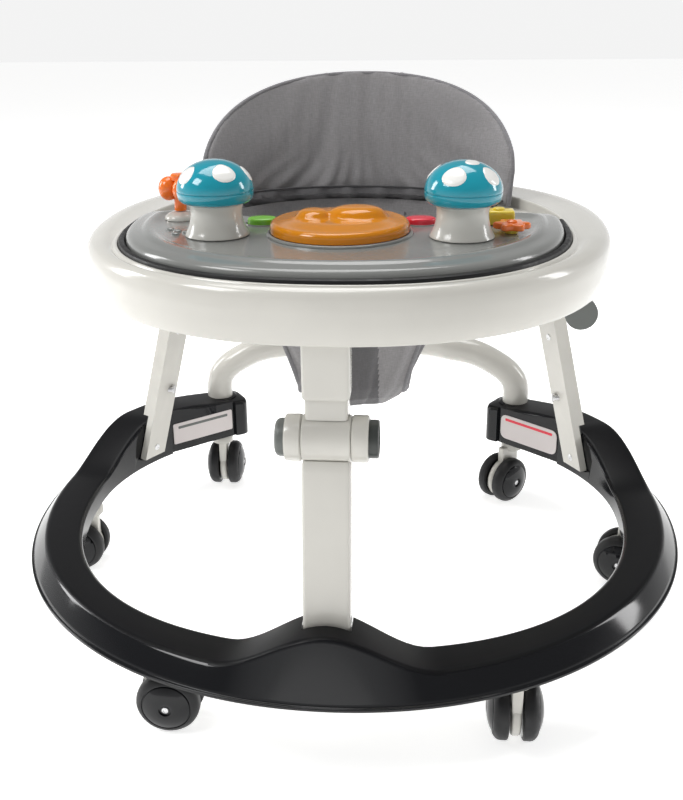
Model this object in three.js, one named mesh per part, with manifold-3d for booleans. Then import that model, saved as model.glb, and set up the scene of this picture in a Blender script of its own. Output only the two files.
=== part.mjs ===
// Baby walker: a horseshoe base on six twin-wheel casters, one front column with a locking knee,
// two side legs, an oval tray with a toy tray, and a fabric seat with a curved backrest.
// Millimetres, +Z up, +X to the child's left, the child faces -Y. The origin is on the floor,
// under the middle of the whole object.
import * as THREE from "three";
import { mergeVertices } from "three/addons/utils/BufferGeometryUtils.js";
import Module from "manifold-3d";

const wasm = await Module();
wasm.setup();

// ---- Driving dimensions -------------------------------------------------------------------

const GAP = 0.3; // between pieces that touch
const CENTRE_Y = -31.5; // middle of the object's depth, measured from the base ring's centre

const WHEEL_RADIUS = 25;
const RING_BOTTOM = 68;
const RING_LOW_TOP = 87; // the ring's top along its low sides
const RING_DRAFT = 14; // how far the outer wall leans in
const RING_END_ANGLE = 54.5; // degrees behind the X axis where each end stops
const RING_INNER = { side: 250, front: 251, rear: 216, frontPower: 2.3 };
const RING_OUTER = { side: 300, front: 305, rear: 276, frontPower: 2.05 };
const FRONT_HUMP = { height: 32, halfAngle: 17 };
const SIDE_HUMP = { height: 31, start: 4, full: 25, endHeight: 22 };

const COLUMN = { width: 34, depth: 24 };
const BASE_PIVOT = { y: -260, z: 106 }; // lower column in the base
const KNEE = { y: -243, z: 250, radius: 16.5 }; // lower column in the upper column
const LINK = { y: KNEE.y - BASE_PIVOT.y, z: KNEE.z - BASE_PIVOT.z };
const LEG_PIVOT = { y: 104.5, z: 150 }; // side leg on its post
const TRAY_PIVOT = { y: LEG_PIVOT.y + LINK.y, z: LEG_PIVOT.z + LINK.z }; // side leg on the tray
const LEG = { width: 28, depth: 15, thin: 8, thinTop: 125, wall: 3, foot: 78, top: TRAY_PIVOT.z + 10 };
const FOLD_DEGREES = 60;
const LEG_FOOT = { x: 219, y: 92.8, z: 80 }; // middle of the leg's inner face, low down
const LEG_LEAN = -0.2266; // sideways run for each millimetre of height
const LEG_RAKE = LINK.y / LINK.z;
const LEG_TURN = { across: 0.504, along: 0.864 }; // the ring wall's direction at the leg

const TRAY = { y: -17, across: 211, front: 239, rear: 214, power: 2.2 }; // the skirt's lower edge
const RECESS = { y: -69, across: 178, front: 178, rear: 215, power: 2.25 }; // inside the rim
const SEAT_HOLE = { y: 38, across: 128, front: 104, rear: 104, power: 2 };
const TRAY_BOTTOM = 320;
const TRAY_TOP = 360;
const DECK_TOP = 350;
const DECK_UNDER = 346.5;
const TOY_TOP = 368;
const TOY_RIM_TOP = 363;

// ---- Shape helpers ------------------------------------------------------------------------

const radians = THREE.MathUtils.degToRad;

// A closed geometry as a manifold-3d solid, turned right side out.
function solid(geometry) {
  const bare = geometry.clone();
  bare.deleteAttribute("normal");
  bare.deleteAttribute("uv");
  const merged = mergeVertices(bare, 1e-4);
  const triVerts = new Uint32Array(merged.index.array);
  const vertProperties = merged.attributes.position.array;
  const made = new wasm.Manifold(new wasm.Mesh({ numProp: 3, vertProperties, triVerts }));
  if (made.volume() >= 0) return made;
  for (let i = 0; i < triVerts.length; i += 3) {
    [triVerts[i], triVerts[i + 1]] = [triVerts[i + 1], triVerts[i]];
  }
  return new wasm.Manifold(new wasm.Mesh({ numProp: 3, vertProperties, triVerts }));
}

function join(...parts) {
  return parts.reduce((whole, part) => whole.add(part));
}

function cut(whole, ...tools) {
  return tools.reduce((left, tool) => left.subtract(tool), whole);
}

function geometryOf(manifold) {
  const { vertProperties, triVerts } = manifold.getMesh();
  const geometry = new THREE.BufferGeometry();
  geometry.setAttribute("position", new THREE.BufferAttribute(vertProperties, 3));
  geometry.setIndex(new THREE.BufferAttribute(triVerts, 1));
  geometry.computeVertexNormals();
  return geometry;
}

// A box between two corners.
function block([x0, y0, z0], [x1, y1, z1]) {
  const box = new THREE.BoxGeometry(x1 - x0, y1 - y0, z1 - z0);
  return solid(box.translate((x0 + x1) / 2, (y0 + y1) / 2, (z0 + z1) / 2));
}

// A round bar along X from x0 to x1, centred on the line y, z.
function barX(radius, x0, x1, y, z, sides = 24) {
  const bar = new THREE.CylinderGeometry(radius, radius, x1 - x0, sides);
  return solid(bar.rotateZ(Math.PI / 2).translate((x0 + x1) / 2, y, z));
}

// A round bar along Z from z0 to z1.
function barZ(radius, z0, z1, x = 0, y = 0, sides = 24) {
  const bar = new THREE.CylinderGeometry(radius, radius, z1 - z0, sides);
  return solid(bar.rotateX(Math.PI / 2).translate(x, y, (z0 + z1) / 2));
}

// A shape turned about a vertical axis; the profile is a list of [radius, z].
function turned(profile, x = 0, y = 0, sides = 24) {
  const points = profile.map(([radius, z]) => new THREE.Vector2(radius, z));
  return solid(new THREE.LatheGeometry(points, sides).rotateX(Math.PI / 2).translate(x, y, 0));
}

// An outline in the XY plane, a list of [x, y], pulled up from z0 to z1.
function prism(outline, z0, z1) {
  const shape = new THREE.Shape(outline.map(([x, y]) => new THREE.Vector2(x, y)));
  const made = new THREE.ExtrudeGeometry(shape, { depth: z1 - z0, bevelEnabled: false });
  return solid(made.translate(0, 0, z0));
}

// A skin over a list of sections, each a list of [x, y, z] with the same number of points.
function loft(sections, closed = false) {
  const count = sections[0].length;
  const index = [];
  const last = closed ? sections.length : sections.length - 1;
  for (let s = 0; s < last; s += 1) {
    const next = ((s + 1) % sections.length) * count;
    for (let p = 0; p < count; p += 1) {
      const q = (p + 1) % count;
      index.push(s * count + p, s * count + q, next + q);
      index.push(s * count + p, next + q, next + p);
    }
  }
  if (!closed) {
    const end = (sections.length - 1) * count;
    for (const [a, b, c] of capFaces(sections[0])) index.push(a, c, b);
    for (const [a, b, c] of capFaces(sections.at(-1))) index.push(end + a, end + b, end + c);
  }
  const geometry = new THREE.BufferGeometry();
  geometry.setAttribute("position", new THREE.Float32BufferAttribute(sections.flat(2), 3));
  geometry.setIndex(index);
  return solid(geometry);
}

// Triangles that close one flat section.
function capFaces(section) {
  const points = section.map((point) => new THREE.Vector3(...point));
  const normal = new THREE.Vector3();
  points.forEach((point, i) => {
    normal.add(new THREE.Vector3().crossVectors(point, points[(i + 1) % points.length]));
  });
  const turn = new THREE.Quaternion().setFromUnitVectors(normal.normalize(), new THREE.Vector3(0, 0, 1));
  const flat = points.map((point) => point.clone().applyQuaternion(turn));
  return THREE.ShapeUtils.triangulateShape(
    flat.map((point) => new THREE.Vector2(point.x, point.y)),
    [],
  );
}

// The distance from the centre to a superellipse in the direction of an angle in radians.
function reach(angle, across, along, power) {
  const x = Math.abs(Math.cos(angle) / across) ** power;
  const y = Math.abs(Math.sin(angle) / along) ** power;
  return (x + y) ** (-1 / power);
}

// A closed outline of a rounded shape { y, across, front, rear, power }, drawn inset from its edge.
function outlineOf(shape, inset = 0, steps = 72) {
  return Array.from({ length: steps }, (_, i) => {
    const angle = (2 * Math.PI * i) / steps;
    const along = Math.sin(angle) < 0 ? shape.front : shape.rear;
    const radius = reach(angle, shape.across - inset, along - inset, shape.power);
    return [radius * Math.cos(angle), shape.y + radius * Math.sin(angle)];
  });
}

// The distance from the point 0, fromY to the edge of such a shape, in the direction of an angle.
function edgeRadius(angle, shape, fromY) {
  let [inside, outside] = [0, 400];
  for (let i = 0; i < 40; i += 1) {
    const radius = (inside + outside) / 2;
    const x = radius * Math.cos(angle);
    const y = fromY + radius * Math.sin(angle) - shape.y;
    const along = y < 0 ? shape.front : shape.rear;
    const share = Math.abs(x / shape.across) ** shape.power + Math.abs(y / along) ** shape.power;
    if (share < 1) inside = radius;
    else outside = radius;
  }
  return inside;
}

// A small ellipse as an outline.
function ellipse(x, y, across, along, steps = 28) {
  return Array.from({ length: steps }, (_, i) => {
    const angle = (2 * Math.PI * i) / steps;
    return [x + across * Math.cos(angle), y + along * Math.sin(angle)];
  });
}

// 0 below start, 1 above end, smooth between.
function ease(value, start, end) {
  return THREE.MathUtils.smoothstep(value, start, end);
}

// ---- Materials and the scene graph --------------------------------------------------------

const finishes = {
  white: { color: 0xe6e4dc, roughness: 0.3 },
  black: { color: 0x121316, roughness: 0.2 },
  rubber: { color: 0x18181a, roughness: 0.6 },
  grey: { color: 0x8f9290, roughness: 0.25 },
  darkGrey: { color: 0x4a4c4c, roughness: 0.5 },
  teal: { color: 0x0f8fae, roughness: 0.2 },
  orange: { color: 0xe8761a, roughness: 0.3 },
  amber: { color: 0xd88a10, roughness: 0.15 },
  green: { color: 0x6fbf2e, roughness: 0.3 },
  red: { color: 0xd02a3c, roughness: 0.3 },
  yellow: { color: 0xdcc436, roughness: 0.3 },
  label: { color: 0xc9bfc0, roughness: 0.6 },
  fabric: { color: 0x86878b, roughness: 0.95 },
  steel: { color: 0xb8bcc0, roughness: 0.3, metalness: 1 },
};

const group = new THREE.Group();
const moved = new THREE.Group();
moved.position.y = -CENTRE_Y;
group.add(moved);

function add(name, manifold, finish, parent = moved) {
  const mesh = new THREE.Mesh(geometryOf(manifold), new THREE.MeshStandardMaterial(finishes[finish]));
  mesh.name = name;
  parent.add(mesh);
  return mesh;
}

const SIDES = [
  ["left", -1],
  ["right", 1],
];

// A point list or solid made for the right side, mirrored for the left.
function onSide(manifold, side) {
  return side > 0 ? manifold : manifold.mirror([1, 0, 0]);
}

// ---- Base ring ----------------------------------------------------------------------------

// The ring's radius at an angle: a superellipse in front and an ellipse behind.
function ringRadius(angle, size) {
  const front = Math.sin(angle) < 0;
  return reach(angle, size.side, front ? size.front : size.rear, front ? size.frontPower : 2);
}

// The height of the ring's top: humps at the column and at each side leg, then a slope to the end.
function ringTop(angle) {
  const degrees = THREE.MathUtils.radToDeg(Math.asin(Math.abs(Math.cos(angle))));
  const behind = THREE.MathUtils.radToDeg(Math.asin(Math.sin(angle)));
  const front = behind < 0 ? FRONT_HUMP.height * (1 - ease(degrees, 0, FRONT_HUMP.halfAngle)) : 0;
  const rise = SIDE_HUMP.height * ease(behind, SIDE_HUMP.start, SIDE_HUMP.full);
  const fall = (SIDE_HUMP.height - SIDE_HUMP.endHeight) * ease(behind, SIDE_HUMP.full + 5, RING_END_ANGLE);
  return RING_LOW_TOP + front + rise - fall;
}

// One section of the ring, from the bottom of the inner wall round to its top.
function ringSection(angle, shrink = 0) {
  const inner = ringRadius(angle, RING_INNER) + shrink;
  const outer = ringRadius(angle, RING_OUTER) - shrink;
  const top = ringTop(angle) - shrink * 0.4;
  const lip = 3;
  const profile = [
    [inner, RING_BOTTOM],
    [outer, RING_BOTTOM],
    [outer, RING_BOTTOM + lip],
    [outer - 2, RING_BOTTOM + lip + 1],
    [outer - RING_DRAFT, top - 1],
    [outer - RING_DRAFT - 2, top],
    [inner + 2, top - 1],
    [inner, top - 3],
  ];
  return profile.map(([radius, z]) => [radius * Math.cos(angle), radius * Math.sin(angle), z]);
}

// The horseshoe, from one rear end round the front to the other, with rounded ends.
function ringBody() {
  const start = radians(RING_END_ANGLE);
  const sweep = Math.PI + 2 * start;
  const steps = 64;
  const sections = [];
  for (let i = 0; i <= steps; i += 1) {
    const fromEnd = Math.min(i, steps - i);
    const shrink = [8, 2.5, 0.5][fromEnd] ?? 0;
    sections.push(ringSection(start - (sweep * i) / steps, shrink));
  }
  return loft(sections);
}

// A solid for the right leg, made in the leg's own directions: u along the ring wall from front to
// rear, v out through the wall, z up. The leg leans in and rakes back as it rises.
function inLegFrame([u0, v0, z0], [u1, v1, z1]) {
  const box = new THREE.BoxGeometry(u1 - u0, v1 - v0, z1 - z0);
  box.translate((u0 + u1) / 2, (v0 + v1) / 2, (z0 + z1) / 2 - LEG_FOOT.z);
  const frame = new THREE.Matrix4().makeBasis(
    new THREE.Vector3(-LEG_TURN.across, LEG_TURN.along, 0),
    new THREE.Vector3(LEG_TURN.along, LEG_TURN.across, 0),
    new THREE.Vector3(LEG_LEAN, LEG_RAKE, 1),
  );
  frame.setPosition(LEG_FOOT.x, LEG_FOOT.y, LEG_FOOT.z);
  return solid(box.applyMatrix4(frame));
}

const POST = { halfWidth: 6.5, thickness: 5, foot: 84, inner: 213.5 };

// The post that carries the right leg, raked and leaning like the leg; grown makes its socket.
function legPost(grown = 0) {
  const half = POST.halfWidth + grown;
  const outline = [
    [-half, POST.foot - grown],
    [half, POST.foot - grown],
  ];
  const arcSteps = 10;
  for (let i = 0; i <= arcSteps; i += 1) {
    const angle = (Math.PI * i) / arcSteps;
    outline.push([half * Math.cos(angle), LEG_PIVOT.z + half * Math.sin(angle)]);
  }
  const sections = [POST.inner - grown, POST.inner + POST.thickness + grown].map((x) =>
    outline.map(([y, z]) => {
      const drop = z - LEG_PIVOT.z;
      return [x + LEG_LEAN * drop, LEG_PIVOT.y + y + LEG_RAKE * Math.min(drop, 0), z];
    }),
  );
  return loft(sections);
}

// The space the right leg's lower end sweeps through as the walker folds.
function legSweep() {
  const half = LEG.width / 2 + 0.6;
  const tail = inLegFrame([-half, -20, LEG.foot - 1], [half, LEG.thin + 0.8, LEG.thinTop]);
  const swept = [];
  for (let angle = 0; angle <= FOLD_DEGREES; angle += 6) {
    const atPivot = tail.translate([0, -LEG_PIVOT.y, -LEG_PIVOT.z]);
    swept.push(atPivot.rotate([-angle, 0, 0]).translate([0, LEG_PIVOT.y, LEG_PIVOT.z]));
  }
  return join(...swept);
}

const COLUMN_SLOT = { half: COLUMN.width / 2 + 1, floor: 90, wall: 15 };
const PIN = { radius: 3, columnHalf: 27, hole: 3 + GAP };
const REAR_TUBE = { radius: 14, x: 167, y: 194, foot: 90 };
const STEM = { radius: 4.5, top: 84, hole: 4.5 + 2 * GAP };
const CASTER_SPOTS = {
  front_left: { x: -140, y: -236, heading: -90 },
  front_right: { x: 140, y: -246, heading: 0 },
  side_left: { x: -262, y: 0, heading: 90 },
  side_right: { x: 272, y: 0, heading: 70 },
  rear_left: { x: -165, y: 185, heading: 0 },
  rear_right: { x: 165, y: 185, heading: 135 },
};

// The flat label faces on the insides of the ring's rear ends.
const LABEL = { angle: 40, halfLength: 30, depth: 0.8, bottom: 74, top: 103 };

// A slab on the right label face, between two depths measured inwards from the wall.
function labelSlab(from, to, bottom, top, halfLength) {
  const angle = radians(LABEL.angle);
  const radius = ringRadius(angle, RING_INNER);
  const middle = new THREE.Vector2(radius * Math.cos(angle), radius * Math.sin(angle));
  const next = ringRadius(angle + 0.01, RING_INNER);
  const tip = new THREE.Vector2(next * Math.cos(angle + 0.01), next * Math.sin(angle + 0.01));
  const along = tip.sub(middle).normalize();
  const inward = new THREE.Vector2(-along.y, along.x);
  const corner = (length, depth) => [
    middle.x + along.x * length + inward.x * depth,
    middle.y + along.y * length + inward.y * depth,
  ];
  const corners = [
    corner(-halfLength, from),
    corner(-halfLength, to),
    corner(halfLength, to),
    corner(halfLength, from),
  ];
  return prism(corners, bottom, top);
}

// Where the ring is hollow from below, as ranges of angle behind the X axis.
const HOLLOWS = [
  [-79, -67],
  [-54, -32],
  [-29, -7],
];

function ringHollow([from, to]) {
  const steps = 5;
  const sections = [];
  for (let i = 0; i <= steps; i += 1) {
    const angle = radians(from + ((to - from) * i) / steps);
    const inner = ringRadius(angle, RING_INNER) + 3.5;
    const outer = ringRadius(angle, RING_OUTER);
    const top = ringTop(angle) - 4;
    const profile = [
      [inner, RING_BOTTOM - 1],
      [outer - 5, RING_BOTTOM - 1],
      [outer - RING_DRAFT - 5, top],
      [inner, top],
    ];
    sections.push(profile.map(([radius, z]) => [radius * Math.cos(angle), radius * Math.sin(angle), z]));
  }
  return loft(sections);
}

function baseRing() {
  let ring = ringBody();
  const wallY = BASE_PIVOT.y - COLUMN.depth / 2 - 2;
  const slotTop = RING_LOW_TOP + FRONT_HUMP.height + 10;
  ring = cut(
    ring,
    block([-COLUMN_SLOT.half, wallY, COLUMN_SLOT.floor], [COLUMN_SLOT.half, -230, slotTop]),
    barX(PIN.hole, -PIN.columnHalf - GAP, PIN.columnHalf + GAP, BASE_PIVOT.y, BASE_PIVOT.z),
  );
  const socket = join(legSweep(), legPost(GAP));
  const flat = labelSlab(0, 30, RING_BOTTOM - 1, 140, LABEL.halfLength + 4);
  const tubeHole = barZ(REAR_TUBE.radius + 2 * GAP, REAR_TUBE.foot - GAP, 140, REAR_TUBE.x, REAR_TUBE.y);
  for (const [, side] of SIDES) {
    ring = cut(ring, onSide(socket, side), onSide(tubeHole, side), onSide(flat, side));
    ring = cut(ring, ...HOLLOWS.map((range) => onSide(ringHollow(range), side)));
  }
  for (const { x, y } of Object.values(CASTER_SPOTS)) {
    ring = cut(ring, barZ(STEM.hole, RING_BOTTOM - 5, STEM.top + GAP, x, y, 12));
  }
  return ring;
}

// The tube that joins the two rear ends and passes low behind the seat.
function rearTube() {
  const right = [
    [REAR_TUBE.x, REAR_TUBE.y, REAR_TUBE.foot],
    [REAR_TUBE.x, REAR_TUBE.y, 107],
    [REAR_TUBE.x, REAR_TUBE.y, 124],
    [163, 194.5, 137],
    [150, 196, 150],
    [122, 200, 164],
    [92, 207, 168],
    [70, 217, 168.5],
    [36, 225, 170],
    [0, 228, 170],
  ];
  const left = right.slice(0, -1).map(([x, y, z]) => [-x, y, z]).reverse();
  const points = [...right, ...left].map((point) => new THREE.Vector3(...point));
  const path = new THREE.CatmullRomCurve3(points);
  const sides = 10;
  const circle = new THREE.Shape(
    Array.from({ length: sides }, (_, i) => {
      const angle = (2 * Math.PI * i) / sides;
      return new THREE.Vector2(REAR_TUBE.radius * Math.cos(angle), REAR_TUBE.radius * Math.sin(angle));
    }),
  );
  return solid(new THREE.ExtrudeGeometry(circle, { steps: 32, extrudePath: path }));
}

// ---- Casters ------------------------------------------------------------------------------

const CASTER = { trail: 13, plateHalf: 4, plateRadius: 21.5, gap: 1, axle: 3, half: 22 };

// The white plate between the wheels, with the stem that turns in the ring.
function casterFork() {
  const { plateHalf, plateRadius, trail } = CASTER;
  const plate = barX(plateRadius, -plateHalf, plateHalf, trail, WHEEL_RADIUS, 24);
  const neck = block([-plateHalf, -6, WHEEL_RADIUS + 6], [plateHalf, trail + 6, 62]);
  const collar = barZ(10, 58, RING_BOTTOM - GAP, 0, 0, 16);
  const stem = barZ(STEM.radius, 60, STEM.top, 0, 0, 12);
  const bore = barX(CASTER.axle + GAP, -10, 10, trail, WHEEL_RADIUS, 12);
  return cut(join(plate, neck, collar, stem), bore);
}

// Two domed wheels on one axle.
function casterWheels() {
  const { plateHalf, gap, axle, half } = CASTER;
  const inner = plateHalf + gap;
  const oneSide = [
    [axle, inner],
    [WHEEL_RADIUS, inner],
    [WHEEL_RADIUS, inner + 7],
    [WHEEL_RADIUS - 5, inner + 13],
    [WHEEL_RADIUS - 12, half - 1],
    [0, half],
  ];
  const mirrored = oneSide.map(([radius, x]) => [radius, -x]).reverse();
  const profile = [...mirrored, ...oneSide].map(([radius, x]) => new THREE.Vector2(radius, x));
  const wheels = new THREE.LatheGeometry(profile, 20).rotateZ(Math.PI / 2);
  return solid(wheels.translate(0, CASTER.trail, WHEEL_RADIUS));
}

function addCasters() {
  for (const [spot, { x, y, heading }] of Object.entries(CASTER_SPOTS)) {
    const caster = new THREE.Group();
    caster.position.set(x, y, 0);
    caster.rotation.z = radians(heading);
    moved.add(caster);
    add(`caster_fork_${spot}`, casterFork(), "white", caster);
    add(`caster_wheels_${spot}`, casterWheels(), "rubber", caster);
  }
}

// ---- Front column and knee ----------------------------------------------------------------

const HUB = {
  bore: 10.2,
  web: 3,
  pin: 4.2,
  gearInner: 13,
  collarInner: COLUMN.width / 2 + GAP,
  collarOuter: 29,
  buttonSeat: 24,
};
const BUTTON = { radius: 13.5, out: 36 };

// A block that follows the lower column's rake, in the column's own depth direction.
function rakedColumn(halfWidth, halfDepth, z0, z1) {
  const at = (z) => BASE_PIVOT.y + (LINK.y / LINK.z) * (z - BASE_PIVOT.z);
  const corners = (z) => [
    [-halfWidth, at(z) - halfDepth, z],
    [halfWidth, at(z) - halfDepth, z],
    [halfWidth, at(z) + halfDepth, z],
    [-halfWidth, at(z) + halfDepth, z],
  ];
  return loft([corners(z0), corners(z1)]);
}

function lowerColumn() {
  const half = COLUMN.width / 2;
  const bar = rakedColumn(half, COLUMN.depth / 2, BASE_PIVOT.z, KNEE.z);
  const foot = barX(COLUMN.depth / 2, -half, half, BASE_PIVOT.y, BASE_PIVOT.z, 32);
  const barrel = barX(KNEE.radius, -half, half, KNEE.y, KNEE.z, 28);
  const trimmed = cut(bar, block([-40, KNEE.y - 40, KNEE.z], [40, KNEE.y + 40, KNEE.z + 30]));
  return cut(
    join(trimmed, foot, barrel),
    barX(HUB.bore, -half - 1, -HUB.web, KNEE.y, KNEE.z, 32),
    barX(HUB.bore, HUB.web, half + 1, KNEE.y, KNEE.z, 32),
    barX(HUB.pin + GAP, -HUB.web - 1, HUB.web + 1, KNEE.y, KNEE.z),
    barX(PIN.hole, -half - 1, half + 1, BASE_PIVOT.y, BASE_PIVOT.z),
  );
}

// The sleeve under the tray, its neck, the two collars of the knee and the yoke behind that
// carries them.
function upperColumn() {
  const { y, z, radius } = KNEE;
  const half = COLUMN.width / 2;
  const neckHalf = half - 2.2;
  const sleeve = block([-half + 0.8, y - 8.5, 281], [half - 0.8, y + 14.5, DECK_UNDER - GAP]);
  const neck = block([-neckHalf, y - 7, z + radius - 6], [neckHalf, y + 13, 283]);
  const yokeY = y + radius + 1;
  const yoke = join(
    block([-HUB.collarOuter, yokeY, z - 10], [HUB.collarOuter, yokeY + 7, z + 14]),
    block([-neckHalf, y + 4, z + radius + 1], [neckHalf, yokeY + 7, z + radius + 14]),
    block([-neckHalf, yokeY, z], [neckHalf, yokeY + 7, z + radius + 14]),
  );
  const clear = barX(radius + 0.6, -HUB.collarInner, HUB.collarInner, y, z, 28);
  let upper = cut(join(sleeve, neck, yoke), clear);
  for (const [, side] of SIDES) {
    const collar = barX(radius, HUB.collarInner, HUB.collarOuter, y, z, 28);
    const arm = block([HUB.collarInner, y, z - 10], [HUB.collarOuter, yokeY + 1, z + 10]);
    upper = join(upper, onSide(join(collar, arm), side));
  }
  for (const [, side] of SIDES) {
    const seat = barX(BUTTON.radius + 0.5, HUB.buttonSeat - 5, HUB.collarOuter + 1, y, z, 24);
    const bore = barX(HUB.bore, HUB.collarInner - 1, HUB.collarOuter, y, z, 32);
    upper = cut(upper, onSide(join(seat, bore), side));
  }
  return upper;
}

// The push button and the toothed lock ring behind it, which straddles barrel and collar.
function kneeButton() {
  const { y, z } = KNEE;
  const rim = barX(BUTTON.radius, HUB.buttonSeat, BUTTON.out - 3, y, z, 24);
  const face = barX(BUTTON.radius - 2.5, BUTTON.out - 4, BUTTON.out, y, z, 24);
  const bore = barX(HUB.pin + GAP, HUB.buttonSeat - 1, BUTTON.out - 4, y, z, 20);
  return cut(join(rim, face), bore);
}

function lockGear() {
  const teeth = 10;
  const outline = [];
  for (let i = 0; i < teeth * 4; i += 1) {
    const angle = (2 * Math.PI * (i + 0.5)) / (teeth * 4);
    const radius = i % 4 < 2 ? HUB.bore - 0.5 : HUB.bore - 2.2;
    outline.push([radius * Math.cos(angle), radius * Math.sin(angle)]);
  }
  const shape = new THREE.Shape(outline.map(([a, b]) => new THREE.Vector2(a, b)));
  const length = HUB.buttonSeat - GAP - HUB.gearInner;
  const disc = new THREE.ExtrudeGeometry(shape, { depth: length, bevelEnabled: false });
  disc.rotateY(Math.PI / 2).translate(HUB.gearInner, KNEE.y, KNEE.z);
  const bore = barX(HUB.pin + GAP, HUB.gearInner - 1, HUB.buttonSeat + 1, KNEE.y, KNEE.z, 20);
  return cut(solid(disc), bore);
}

// A coil spring round the knee pin, between the barrel's web and the right lock gear.
function kneeSpring() {
  const turns = 3;
  const steps = turns * 9;
  const wireRadius = 0.8;
  const coil = 6.6;
  const start = HUB.web + GAP + wireRadius;
  const end = HUB.gearInner - GAP - wireRadius;
  const points = Array.from({ length: steps + 1 }, (_, i) => {
    const angle = (2 * Math.PI * turns * i) / steps;
    const x = start + ((end - start) * i) / steps;
    return new THREE.Vector3(x, KNEE.y + coil * Math.cos(angle), KNEE.z + coil * Math.sin(angle));
  });
  const wire = new THREE.Shape(
    ellipse(0, 0, wireRadius, wireRadius, 5).map(([a, b]) => new THREE.Vector2(a, b)),
  );
  const path = new THREE.CatmullRomCurve3(points);
  return solid(new THREE.ExtrudeGeometry(wire, { steps, extrudePath: path }));
}

function addColumn() {
  add("lower_column", lowerColumn(), "white");
  add("upper_column", upperColumn(), "white");
  const { columnHalf, radius } = PIN;
  add("column_pin", barX(radius, -columnHalf, columnHalf, BASE_PIVOT.y, BASE_PIVOT.z), "steel");
  add("knee_pin", barX(HUB.pin, -27, 27, KNEE.y, KNEE.z), "steel");
  for (const [name, side] of SIDES) {
    add(`knee_button_${name}`, onSide(kneeButton(), side), "darkGrey");
    add(`lock_gear_${name}`, onSide(lockGear(), side), "steel");
    add(`knee_spring_${name}`, onSide(kneeSpring(), side), "steel");
  }
}

// ---- Side legs ----------------------------------------------------------------------------

// A channel whose closed face looks inwards. Its lower end is thinner, and its rear flange stops
// above the post, so that the leg can swing back on the post.
function sideLeg() {
  const half = LEG.width / 2;
  const { wall, depth, thin, thinTop, foot, top } = LEG;
  const whole = inLegFrame([-half, 0, foot], [half, depth, top]);
  const hollow = inLegFrame([-half + wall, wall, foot - 1], [half - wall, depth + 1, top - wall]);
  const rearLow = inLegFrame([half - wall - 1, wall, foot - 1], [half + 1, depth + 1, LEG_PIVOT.z + 17]);
  const outerLow = inLegFrame([-half - 1, thin, foot - 1], [half + 1, depth + 1, thinTop]);
  return cut(
    whole,
    hollow,
    rearLow,
    outerLow,
    barX(PIN.hole, 150, 240, LEG_PIVOT.y, LEG_PIVOT.z, 20),
    barX(PIN.hole, 130, 240, TRAY_PIVOT.y, TRAY_PIVOT.z, 20),
  );
}

const LEG_X = LEG_FOOT.x + LEG_LEAN * (LEG_PIVOT.z - LEG_FOOT.z);
const TRAY_LEG_X = LEG_FOOT.x + LEG_LEAN * (TRAY_PIVOT.z - LEG_FOOT.z);
const BRACKET = { inner: 147, outer: 152, half: 9 };

// The bracket under the tray, on the leg's inner side, that carries the right leg's upper pivot.
function legBracket() {
  const { inner, outer, half } = BRACKET;
  const { y, z } = TRAY_PIVOT;
  const top = DECK_UNDER - GAP;
  const bracket = join(
    barX(half, inner, outer, y, z, 28),
    block([inner, y - half, z], [outer, y + half, top]),
    block([inner - 16, y - half, top - 4], [outer, y + half, top]),
  );
  return cut(bracket, barX(PIN.hole, inner - 1, outer + 1, y, z, 20));
}

// A headed pin from the outer end x1 to the inner face of its head at x0.
function pivotPin(x0, x1, pivot) {
  const shank = barX(PIN.radius, x0 - 1, x1, pivot.y, pivot.z, 14);
  const head = barX(4.5, x0 - 2, x0, pivot.y, pivot.z, 16);
  return join(shank, head);
}

function addLegs() {
  const postOuter = POST.inner + POST.thickness;
  for (const [name, side] of SIDES) {
    add(`side_leg_${name}`, onSide(sideLeg(), side), "white");
    const post = cut(legPost(), barX(PIN.hole, 190, 240, LEG_PIVOT.y, LEG_PIVOT.z, 20));
    add(`leg_post_${name}`, onSide(post, side), "darkGrey");
    add(`leg_bracket_${name}`, onSide(legBracket(), side), "white");
    add(`leg_pin_${name}`, onSide(pivotPin(LEG_X - 5.2, postOuter, LEG_PIVOT), side), "steel");
    const bracketPin = pivotPin(BRACKET.inner - GAP, TRAY_LEG_X + 17.5, TRAY_PIVOT);
    add(`bracket_pin_${name}`, onSide(bracketPin, side), "steel");
  }
}

// ---- Tray ---------------------------------------------------------------------------------

// The tray is a shell that is open below: skirt, rounded rim, recessed deck and the seat hole.
function traySection(angle) {
  const outer = edgeRadius(angle, TRAY, TRAY.y);
  const recess = edgeRadius(angle, RECESS, TRAY.y);
  const hole = edgeRadius(angle, SEAT_HOLE, TRAY.y);
  const crown = Math.min(outer - recess, 20);
  const bottom = TRAY_BOTTOM;
  const profile = [
    [outer, bottom],
    [outer + 2.5, bottom + 4],
    [outer + 4, bottom + 17],
    [outer + 3.3, bottom + 26],
    [outer + 0.5, bottom + 33.5],
    [outer - 0.25 * crown, TRAY_TOP - 2],
    [outer - 0.7 * crown, TRAY_TOP],
    [recess, TRAY_TOP - 1],
    [recess, DECK_TOP],
    [hole, DECK_TOP],
    [hole, DECK_TOP - 14],
    [hole + 3, DECK_TOP - 14],
    [hole + 3, DECK_UNDER],
    [outer - 3.5, DECK_UNDER],
    [outer, DECK_UNDER - 5],
    [outer + 1, bottom + 17],
    [outer - 3, bottom],
  ];
  return profile.map(([radius, z]) => [
    radius * Math.cos(angle),
    TRAY.y + radius * Math.sin(angle),
    z,
  ]);
}

function trayRing() {
  const steps = 50;
  const sections = [];
  for (let i = 0; i < steps; i += 1) sections.push(traySection((2 * Math.PI * i) / steps));
  return loft(sections, true);
}

const TOY_REAR = -32; // the toy tray's rear edge, beside the seat

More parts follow.
